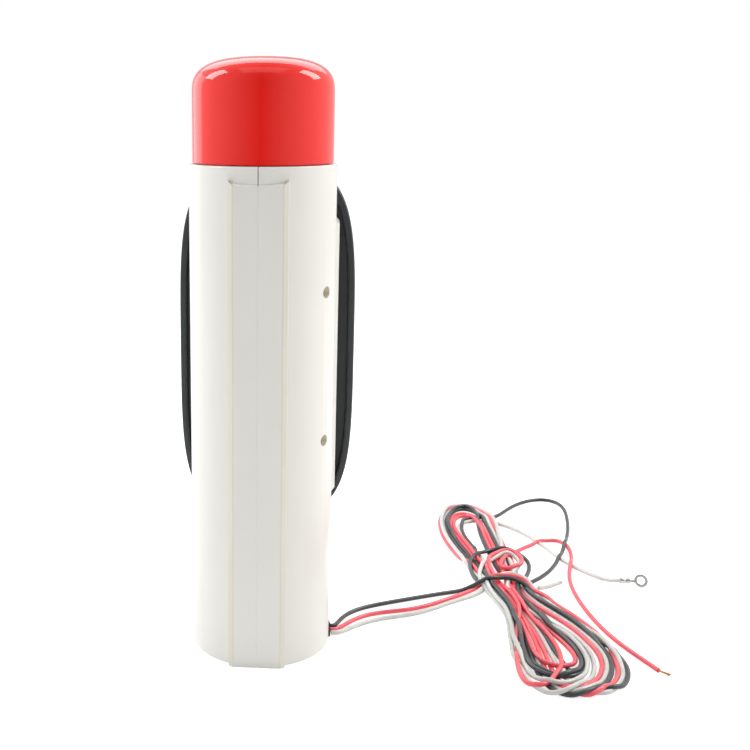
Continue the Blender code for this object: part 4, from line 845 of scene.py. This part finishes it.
# ---- Dome cap ---------------------------------------------------------------------------------------
# A push-fit dome moulded in glossy red plastic, turned about the case's axis. Its spigot carries an
# O-ring and slides into the mouth of the case.
CAP_R = 29.45 * MM
CAP_WALL = 2.4 * MM
CAP_LOW = 214.3 * MM
DOME_LOW = 241.0 * MM
DOME_RISE = 14.0 * MM
DOME_CROWN = 2.0 * MM
DOME_POWER = 3.5
SPIGOT_R = 27.2 * MM
SPIGOT_IN_R = 23.0 * MM
SPIGOT_LOW = 203.5 * MM
RING_GROOVE_Z = 207.5 * MM


def lathe(profile, segments=128, place=(0, 0, 0), axis=(0, 0, 1)):
    """A closed (radius, height) profile turned about an axis through a place."""
    shape = bmesh.new()
    ends = [shape.verts.new((radius, 0.0, height)) for radius, height in profile]
    sides = [shape.edges.new(pair) for pair in zip(ends, ends[1:] + ends[:1])
             if pair[0].co.x > 0 or pair[1].co.x > 0]
    bmesh.ops.spin(shape, geom=ends + sides, cent=(0, 0, 0), axis=(0, 0, 1), angle=2 * pi, steps=segments,
                   use_duplicate=False)
    bmesh.ops.remove_doubles(shape, verts=shape.verts, dist=0.0005 * MM)
    bmesh.ops.delete(shape, geom=[v for v in shape.verts if not v.link_faces], context="VERTS")
    bmesh.ops.recalc_face_normals(shape, faces=shape.faces)
    turn = Vector((0, 0, 1)).rotation_difference(Vector(axis)).to_matrix().to_4x4()
    bmesh.ops.transform(shape, verts=shape.verts, matrix=Matrix.Translation(place) @ turn)
    return shape


def piece_of(name, shape, finish, body, sharp, nodes_replaced):
    """A finished piece from a bmesh: smooth up to an angle, riding on its body in place of CAD nodes."""
    mesh = bpy.data.meshes.new(name)
    shape.to_mesh(mesh)
    shape.free()
    mesh.shade_smooth()
    mesh.set_sharp_from_angle(angle=radians(sharp))
    mesh.materials.append(finish)
    piece = bpy.data.objects.new(name, mesh)
    collection.objects.link(piece)
    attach(piece, body)
    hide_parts(*nodes_replaced)
    return piece


def dome(radius, rise, steps=26):
    """Half of the dome's section: a superellipse with a slight crown, from its side up to its top."""
    outline = []
    for i in range(steps):
        angle = (i / steps) ** 1.6 * pi / 2
        reach = cos(angle) ** (2 / DOME_POWER)
        climb = sin(angle) ** (2 / DOME_POWER)
        outline.append((radius * reach, DOME_LOW + rise * climb + DOME_CROWN * (1 - reach ** 2)))
    return [*outline, (0.0, DOME_LOW + rise + DOME_CROWN)]


edge = 0.35 * MM
groove = 1.3 * MM
cap_profile = [(SPIGOT_IN_R, SPIGOT_LOW), (SPIGOT_R - edge, SPIGOT_LOW), (SPIGOT_R, SPIGOT_LOW + edge),
               (SPIGOT_R, RING_GROOVE_Z - groove), (SPIGOT_R - 2.1 * MM, RING_GROOVE_Z - groove),
               (SPIGOT_R - 2.1 * MM, RING_GROOVE_Z + groove), (SPIGOT_R, RING_GROOVE_Z + groove),
               (SPIGOT_R, CAP_LOW), (CAP_R - edge, CAP_LOW), (CAP_R, CAP_LOW + edge), *dome(CAP_R, DOME_RISE),
               *reversed(dome(CAP_R - CAP_WALL, DOME_RISE - CAP_WALL)), (CAP_R - CAP_WALL, CAP_LOW + 2 * CAP_WALL),
               (SPIGOT_IN_R, CAP_LOW + CAP_WALL / 2)]
gloss_red = plastic("gloss_red", (0.94, 0.020, 0.013), (0.90, 0.016, 0.010), 0.06, cloud=30.0, grain=900.0,
                    depth=0.003, coat=0.0)
piece_of("dome_cap", lathe(cap_profile, 160), gloss_red, "cap", 30, ["red_cap"])
painted("cap_o_ring", rubber)

# ---- Control cover ----------------------------------------------------------------------------------
# A deep black cover moulded in glass-filled nylon with a fine matt texture. It carries the controls
# and is held on the saddle by four screws, over a flat rubber gasket.
COVER_HALF_W = 40.4 * MM
COVER_HALF_H = 82.0 * MM
COVER_Z = 129.0 * MM
COVER_POWER = 4.0
COVER_FACE_Y = -46.0 * MM
COVER_FLOOR_Y = -37.5 * MM
COVER_RIM_Y = -33.5 * MM
COVER_WALL = 2.5 * MM
COVER_ROUND = 5.6 * MM
HINGE_Y, HINGE_Z = -48.6 * MM, 180.0 * MM
BUTTON_Z, TEST_Z, STATUS_Z, SOUNDER_Z = 164.0 * MM, 108.0 * MM, 131.0 * MM, 86.0 * MM
black_nylon = plastic("black_nylon", (0.030, 0.034, 0.038), (0.020, 0.024, 0.028), 0.40, cloud=60.0, grain=2600.0,
                      depth=0.035, coat=0.04)


def superellipse(inset, count=168):
    outline = []
    for i in range(count):
        angle = 2 * pi * (i + 0.5) / count
        c, s = cos(angle), sin(angle)
        x = (COVER_HALF_W - inset) * abs(c) ** (2 / COVER_POWER) * (1 if c > 0 else -1)
        z = (COVER_HALF_H - inset) * abs(s) ** (2 / COVER_POWER) * (1 if s > 0 else -1)
        outline.append((x, COVER_Z + z))
    return outline


def block(low, high):
    shape = bmesh.new()
    bmesh.ops.create_cube(shape, size=1.0)
    low, high = Vector(low), Vector(high)
    scaled = Matrix.Diagonal((*(high - low), 1.0))
    bmesh.ops.transform(shape, verts=shape.verts, matrix=Matrix.Translation((low + high) / 2) @ scaled)
    return shape


def pulled(outline, low, high, axis):
    """A flat outline pulled straight along an axis. For Y the outline is (x, z), for X it is (y, z)."""
    shape = bmesh.new()
    start = {"Y": lambda a, b: (a, low, b), "X": lambda a, b: (low, a, b)}[axis]
    way = {"Y": (0, high - low, 0), "X": (high - low, 0, 0)}[axis]
    face = shape.faces.new([shape.verts.new(start(a, b)) for a, b in outline])
    moved = [item for item in bmesh.ops.extrude_face_region(shape, geom=[face])["geom"]
             if isinstance(item, bmesh.types.BMVert)]
    bmesh.ops.translate(shape, verts=moved, vec=way)
    bmesh.ops.recalc_face_normals(shape, faces=shape.faces)
    return shape


def worked(base, steps):
    """A bmesh after each (operation, list of tool shapes), as one plain bmesh."""
    def object_of(shapes):
        whole = bpy.data.meshes.new("blank")
        gathered = bmesh.new()
        for shape in shapes:
            bmesh.ops.triangulate(shape, faces=shape.faces)
            shape.to_mesh(whole)
            shape.free()
            gathered.from_mesh(whole)
        gathered.to_mesh(whole)
        gathered.free()
        made = bpy.data.objects.new("blank", whole)
        collection.objects.link(made)
        return made

    blank = object_of([base])
    for operation, shapes in steps:
        tool = object_of(shapes)
        cut = blank.modifiers.new("cut", "BOOLEAN")
        cut.operation = operation
        cut.solver = "EXACT"
        cut.object = tool
        mesh = bpy.data.meshes.new_from_object(blank.evaluated_get(bpy.context.evaluated_depsgraph_get()))
        blank.modifiers.clear()
        blank.data = mesh
        bpy.data.objects.remove(tool)
    shape = bmesh.new()
    shape.from_mesh(blank.data)
    bpy.data.objects.remove(blank)
    bmesh.ops.remove_doubles(shape, verts=shape.verts, dist=0.0005 * MM)
    return shape


loft_steps = [(3.4, -37.5), (3.0, -34.1), (2.3, -33.5), (1.0, -33.5), (0.45, -33.75), (0.12, -34.5), (0.0, -35.5)]
loft_steps = [(inset * MM, y * MM) for inset, y in loft_steps]
for i in range(13):
    turn = i / 12 * pi / 2
    loft_steps.append((COVER_ROUND * (1 - cos(turn)), -41.0 * MM - 5.0 * MM * sin(turn)))
cover_shape = bmesh.new()
loops = [[cover_shape.verts.new((x, y, z)) for x, z in superellipse(inset)] for inset, y in loft_steps]
for near, far in zip(loops, loops[1:]):
    for i, corner in enumerate(near):
        j = (i + 1) % len(near)
        cover_shape.faces.new((corner, near[j], far[j], far[i]))
cover_shape.faces.new(loops[0])
cover_shape.faces.new(loops[-1])
bmesh.ops.recalc_face_normals(cover_shape, faces=cover_shape.faces)

quarter = [(27.0 * MM, 41.0 * MM), (19.0 * MM, 41.0 * MM), (19.0 * MM, 56.0 * MM)]
cross = quarter + [(-x, z) for x, z in reversed(quarter)]
cross += [(-x, -z) for x, z in quarter] + [(x, -z) for x, z in reversed(quarter)]
room = pulled([(x, COVER_Z + z) for x, z in cross], COVER_FACE_Y + COVER_WALL, COVER_FLOOR_Y + MM, "Y")
lugs = []
for low_x, high_x in ((-15.2 * MM, -12.8 * MM), (12.8 * MM, 15.2 * MM)):
    outline = [(COVER_FACE_Y + MM, HINGE_Z + 3.4 * MM)]
    outline += [(HINGE_Y + 2.2 * MM * cos(radians(a)), HINGE_Z + 2.2 * MM * sin(radians(a)))
                for a in range(60, 301, 12)]
    outline += [(COVER_FACE_Y + MM, HINGE_Z - 3.4 * MM)]
    lugs.append(pulled(outline, low_x, high_x, "X"))


def drilled(profile, place, axis=(0, 1, 0), segments=48):
    return lathe([(radius * MM, height * MM) for radius, height in profile], segments, place, axis)


pin_hole = drilled([(0, 0), (1.3, 0), (1.3, 34), (0, 34)], (-17 * MM, HINGE_Y, HINGE_Z), (1, 0, 0), 32)
face = COVER_FACE_Y - 2 * MM
holes = [drilled([(0, 0), (8.9, 0), (8.9, 2.0), (8.3, 2.6), (8.3, 6.5), (0, 6.5)], (0, face, BUTTON_Z)),
         drilled([(0, 0), (5.9, 0), (5.9, 2.0), (5.3, 2.6), (5.3, 6.5), (0, 6.5)], (0, face, TEST_Z)),
         block((-13.3 * MM, face, STATUS_Z - 4.8 * MM), (13.3 * MM, face + 6.5 * MM, STATUS_Z + 4.8 * MM))]
grille = [(0.0, 0.0)] + [(4.6 * MM * cos(pi * i / 3), 4.6 * MM * sin(pi * i / 3)) for i in range(6)]
holes += [drilled([(0, 0), (1.5, 0), (1.5, 2.0), (1.1, 2.4), (1.1, 6.5), (0, 6.5)], (x, face, SOUNDER_Z + z),
                  segments=24) for x, z in grille]
tunnel = [(0, 0), (3.5, 0), (3.5, 2.0), (3.1, 2.4), (3.1, 6.2), (1.8, 6.2), (1.8, 16), (0, 16)]
holes += [drilled(tunnel, (x * MM, face, COVER_Z + z * MM), segments=32) for x in (-25, 25) for z in (-50, 50)]
cover_shape = worked(cover_shape, [("DIFFERENCE", [room]), ("UNION", lugs), ("DIFFERENCE", [pin_hole, *holes])])
piece_of("control_cover", cover_shape, black_nylon, "case", 32, ["front_cover"])
painted("cover_gasket", rubber)

# ---- Guard over the switch --------------------------------------------------------------------------
# A hinged black flap moulded in nylon that keeps the red switch from being pressed by accident. It
# turns on a steel pin between two lugs, and has a ribbed lip to lift it by.
guard = smooth_copy("switch_flap", "switch_guard", black_nylon, body="guard", sharp=30)
soften = guard.modifiers.new("soften", "BEVEL")
soften.width = 0.3 * MM
soften.segments = 3
soften.limit_method = "ANGLE"
soften.angle_limit = radians(45)
painted("guard_pin", stainless)

ribs = Tree("lip_ribs", {"Count": 5, "Pitch": 0.0016, "Width": 0.018, "Height": 0.0007, "Depth": 0.0005})
row = ribs.node("GeometryNodeMeshLine", Count=ribs.size("Count"), Offset=ribs.vector(z=ribs.size("Pitch")))
one = ribs.node("GeometryNodeMeshCube", Size=ribs.vector(ribs.size("Width"), ribs.size("Depth"), ribs.size("Height")))
seat_at = ribs.node("GeometryNodeInputPosition")
spots = ribs.node("GeometryNodeMeshToPoints", Mesh=ribs.start.outputs[0])
rows = ribs.node("GeometryNodeInstanceOnPoints", Points=spots.outputs[0], Instance=row.outputs[0])
rows = ribs.node("GeometryNodeRealizeInstances", Geometry=rows.outputs[0])
every = ribs.node("GeometryNodeMeshToPoints", Mesh=rows.outputs[0])
ribs.finish(ribs.node("GeometryNodeInstanceOnPoints", Points=every.outputs[0], Instance=one.outputs[0]).outputs[0],
            black_nylon)
flap_low, flap_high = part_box("switch_guard")
lip_ribs = grown("lip_ribs", ribs, [(0, -49.75 * MM, flap_low.z + 2.4 * MM)])
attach(lip_ribs, "guard")

# ---- Buttons ----------------------------------------------------------------------------------------
# A large red switch and a small yellow test button, each moulded with a dished face, a flange behind
# the cover's wall and a stem that presses a tact switch on the switch board.
test_yellow = plastic("test_yellow", (0.86, 0.62, 0.05), (0.80, 0.55, 0.035), 0.32, cloud=60.0, grain=1600.0,
                      depth=0.02, coat=0.3)
FRONT_Y = -47.3 * MM
for name, node, radius, height, finish, body, slot_name in (
        ("switch_button", "activation_button", 8.0, BUTTON_Z, gloss_red, "activation", "gloss_red"),
        ("self_test_button", "test_button", 5.0, TEST_Z, test_yellow, "test", "test_yellow")):
    profile = [(0, 0.55), (radius * 0.35, 0.48), (radius * 0.62, 0.30), (radius * 0.80, 0.06), (radius * 0.86, 0.0),
               (radius * 0.92, 0.08), (radius * 0.97, 0.34), (radius, 0.8), (radius, 4.1), (radius + 1.5, 4.1),
               (radius + 1.5, 5.1), (radius * 0.4, 5.1), (radius * 0.4, 6.5), (0, 6.5)]
    shape = drilled(profile, (0, FRONT_Y, height), segments=72)
    piece_of(name, shape, finish, body, 35, [node])

# ---- Status window, lamps and sounder ---------------------------------------------------------------
# A clear polycarbonate pane over the status lamp, which sits on the switch board with the tact
# switches. The sounder is a round black piezo disc in a case behind the grille.
smoke_clear, clear_tree, clear_shader = shader_of("clear_pane")
clear_shader.inputs["Transmission Weight"].default_value = 0.92
clear_shader.inputs["IOR"].default_value = 1.58
haze = clear_tree.nodes.new("ShaderNodeTexNoise")
haze.inputs["Scale"].default_value = 120.0
clear_tree.links.new(clear_tree.nodes.new("ShaderNodeTexCoord").outputs["Object"], haze.inputs["Vector"])
haze_tint = clear_tree.nodes.new("ShaderNodeValToRGB")
haze_tint.color_ramp.elements[0].color = (0.80, 0.83, 0.84, 1)
haze_tint.color_ramp.elements[1].color = (0.92, 0.93, 0.93, 1)
clear_tree.links.new(haze.outputs["Fac"], haze_tint.inputs["Fac"])
clear_tree.links.new(haze_tint.outputs["Color"], clear_shader.inputs["Base Color"])
haze_gloss = clear_tree.nodes.new("ShaderNodeMapRange")
haze_gloss.inputs["To Min"].default_value = 0.03
haze_gloss.inputs["To Max"].default_value = 0.10
clear_tree.links.new(haze.outputs["Fac"], haze_gloss.inputs["Value"])
clear_tree.links.new(haze_gloss.outputs["Result"], clear_shader.inputs["Roughness"])
painted("status_window", smoke_clear)
phosphor = plastic("phosphor_yellow", (0.88, 0.78, 0.26), (0.80, 0.68, 0.18), 0.30, cloud=500.0, grain=3000.0,
                   depth=0.01, coat=0.4)
painted("status_led", phosphor)
chip_black = plastic("chip_black", (0.035, 0.035, 0.036), (0.024, 0.024, 0.025), 0.45, cloud=150.0, grain=2200.0,
                     depth=0.03, coat=0.0)
painted("sounder", chip_black)

# ---- Circuit boards ---------------------------------------------------------------------------------
# Glass-epoxy boards under green solder mask, with copper tracks showing through as lighter lines:
# the main board on two screws, the switch board behind the buttons, and the strobe's round board.
board_green, board_tree, board_shader = shader_of("board_green")
board_shader.inputs["Roughness"].default_value = 0.38
board_shader.inputs["Coat Weight"].default_value = 0.3
board_at = board_tree.nodes.new("ShaderNodeTexCoord")
tracks = board_tree.nodes.new("ShaderNodeTexBrick")
tracks.offset = 0.37
tracks.inputs["Scale"].default_value = 160.0
tracks.inputs["Mortar Size"].default_value = 0.05
tracks.inputs["Color1"].default_value = (0.020, 0.130, 0.050, 1)
tracks.inputs["Color2"].default_value = (0.030, 0.165, 0.065, 1)
tracks.inputs["Mortar"].default_value = (0.070, 0.290, 0.120, 1)
swap = board_tree.nodes.new("ShaderNodeMapping")
swap.inputs["Rotation"].default_value = (pi / 2, 0.0, 0.0)
board_tree.links.new(board_at.outputs["Object"], swap.inputs["Vector"])
board_tree.links.new(swap.outputs["Vector"], tracks.inputs["Vector"])
board_tree.links.new(tracks.outputs["Color"], board_shader.inputs["Base Color"])
board_bump = board_tree.nodes.new("ShaderNodeBump")
board_bump.inputs["Strength"].default_value = 0.3
board_bump.inputs["Distance"].default_value = 0.05 * MM
board_tree.links.new(tracks.outputs["Fac"], board_bump.inputs["Height"])
board_tree.links.new(board_bump.outputs["Normal"], board_shader.inputs["Normal"])
for node in ("main_board", "switch_board", "strobe_board"):
    painted(node, board_green)
painted("processor", chip_black)


def metal(name, colour, deep, rough_low, rough_high, scale):
    """Plated or rolled metal, uneven in colour and gloss."""
    made, tree, shader = shader_of(name)
    shader.inputs["Metallic"].default_value = 1.0
    noise = tree.nodes.new("ShaderNodeTexNoise")
    noise.inputs["Scale"].default_value = scale
    noise.inputs["Detail"].default_value = 4.0
    tree.links.new(tree.nodes.new("ShaderNodeTexCoord").outputs["Object"], noise.inputs["Vector"])
    tone = tree.nodes.new("ShaderNodeValToRGB")
    tone.color_ramp.elements[0].color = (*deep, 1)
    tone.color_ramp.elements[1].color = (*colour, 1)
    tree.links.new(noise.outputs["Fac"], tone.inputs["Fac"])
    tree.links.new(tone.outputs["Color"], shader.inputs["Base Color"])
    shine = tree.nodes.new("ShaderNodeMapRange")
    shine.inputs["To Min"].default_value = rough_low
    shine.inputs["To Max"].default_value = rough_high
    tree.links.new(noise.outputs["Fac"], shine.inputs["Value"])
    tree.links.new(shine.outputs["Result"], shader.inputs["Roughness"])
    return made


tinned = metal("tinned_metal", (0.74, 0.74, 0.72), (0.58, 0.58, 0.56), 0.24, 0.42, 700.0)
for node in ("transmitter_can", "antenna_nut"):
    painted(node, tinned)
ring_end.data.materials.append(tinned)
ceramic = plastic("ceramic", (0.74, 0.68, 0.54), (0.66, 0.60, 0.46), 0.55, cloud=180.0, grain=2500.0, depth=0.05,
                  coat=0.0)
for node in ("lead_connector", "gnss_antenna"):
    painted(node, ceramic)
painted("inner_harness", chip_black)
painted("antenna_coax", black_pvc)

# ---- Deck, strobe and antenna -----------------------------------------------------------------------
# A white deck on three screws closes the case under the cap. It carries the strobe under a clear
# domed lens, and a whip antenna in a rubber sheath with a hex nut.
painted("top_deck", white_abs)
LENS_LOW = 202.3
LENS_SPRING = 210.3  # where the lens's straight side turns into its dome, in millimetres
LENS_R, LENS_IN_R = 12.0, 10.4
lens = [(LENS_IN_R, LENS_LOW), (LENS_R, LENS_LOW)]
lens += [(LENS_R * cos(i * pi / 32), LENS_SPRING + LENS_R * sin(i * pi / 32)) for i in range(16)]
lens += [(0, LENS_SPRING + LENS_R), (0, LENS_SPRING + LENS_IN_R)]
lens += [(LENS_IN_R * cos(i * pi / 32), LENS_SPRING + LENS_IN_R * sin(i * pi / 32)) for i in reversed(range(16))]
piece_of("strobe_dome", drilled(lens, (0, 0, 0), (0, 0, 1), 96), smoke_clear, "case", 30, ["strobe_lens"])
painted("strobe_led", phosphor)
whip = [(0, 194.0), (2.1, 194.0), (2.1, 205.8), (3.1, 205.8), (3.4, 206.1), (3.4, 208.0)]
for i in range(9):
    whip += [(3.3 - 0.09 * i, 208.5 + 3.0 * i), (3.3 - 0.09 * i, 210.4 + 3.0 * i), (2.9 - 0.09 * i, 210.7 + 3.0 * i),
             (2.9 - 0.09 * i, 211.2 + 3.0 * i)]
whip += [(2.5, 236.5), (2.3, 238.5), (1.7, 239.6), (0.8, 240.0), (0, 240.0)]
piece_of("whip_sheath", drilled(whip, (0, 17 * MM, 0), (0, 0, 1), 40), rubber, "case", 35, ["antenna_sheath"])

# ---- Battery ----------------------------------------------------------------------------------------
# Two round lithium cells in blue shrink sleeves stand in a black cradle, each on a conical spring of
# steel wire. The sleeve stops short of the can's bright rim and of its positive button.
sleeve = plastic("cell_sleeve", (0.10, 0.22, 0.46), (0.075, 0.18, 0.40), 0.30, cloud=90.0, grain=1500.0, depth=0.02,
                 coat=0.4)
nickel = metal("nickel_can", (0.70, 0.69, 0.65), (0.60, 0.59, 0.56), 0.18, 0.32, 500.0)
for number, x in ((1, -9.5), (2, 9.5)):
    stand = (x * MM, 6.0 * MM, 16.0 * MM)
    jacket = [(7.6, 0.12), (8.9, 0.0), (9.15, 0.25), (9.2, 0.6), (9.2, 62.6), (9.05, 63.2), (8.6, 63.55), (7.4, 63.6),
              (7.4, 63.4), (8.9, 63.0), (8.9, 0.5), (7.6, 0.4)]
    piece_of(f"cell_sleeve_{number}", drilled(jacket, stand, (0, 0, 1), 72), sleeve, "case", 30,
             [f"battery_cell_{number}"])
    can = [(0, 0.1), (7.5, 0.1), (7.5, 0.45), (8.8, 0.55), (8.8, 62.9), (7.3, 63.3), (7.3, 63.85), (2.9, 63.9),
           (2.75, 64.8), (2.4, 65.0), (0, 65.0)]
    piece_of(f"cell_can_{number}", drilled(can, stand, (0, 0, 1), 72), nickel, "case", 30,
             [f"battery_cell_{number}"])
painted("battery_cradle", chip_black)

coil = Tree("conical_spring", {"Turns": 2.5, "Low Radius": 0.006, "High Radius": 0.0028, "Rise": 0.0033,
                               "Wire": 0.0004})
helix = coil.node("GeometryNodeCurveSpiral", Resolution=32, Rotations=coil.size("Turns"),
                  Start_Radius=coil.size("Low Radius"), End_Radius=coil.size("High Radius"),
                  Height=coil.size("Rise"))
round_wire = coil.node("GeometryNodeCurvePrimitiveCircle", Resolution=12, Radius=coil.size("Wire"))
wound_wire = coil.node("GeometryNodeCurveToMesh", Curve=helix.outputs[0], Profile_Curve=round_wire.outputs[0],
                       Fill_Caps=True)
seats = coil.node("GeometryNodeMeshToPoints", Mesh=coil.start.outputs[0])
coil.finish(coil.node("GeometryNodeInstanceOnPoints", Points=seats.outputs[0],
                      Instance=wound_wire.outputs[0]).outputs[0], stainless)
springs = grown("cell_springs", coil, [(x * MM, 6.0 * MM, 12.0 * MM) for x in (-9.5, 9.5)])
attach(springs, "case")
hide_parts("battery_spring_1", "battery_spring_2")
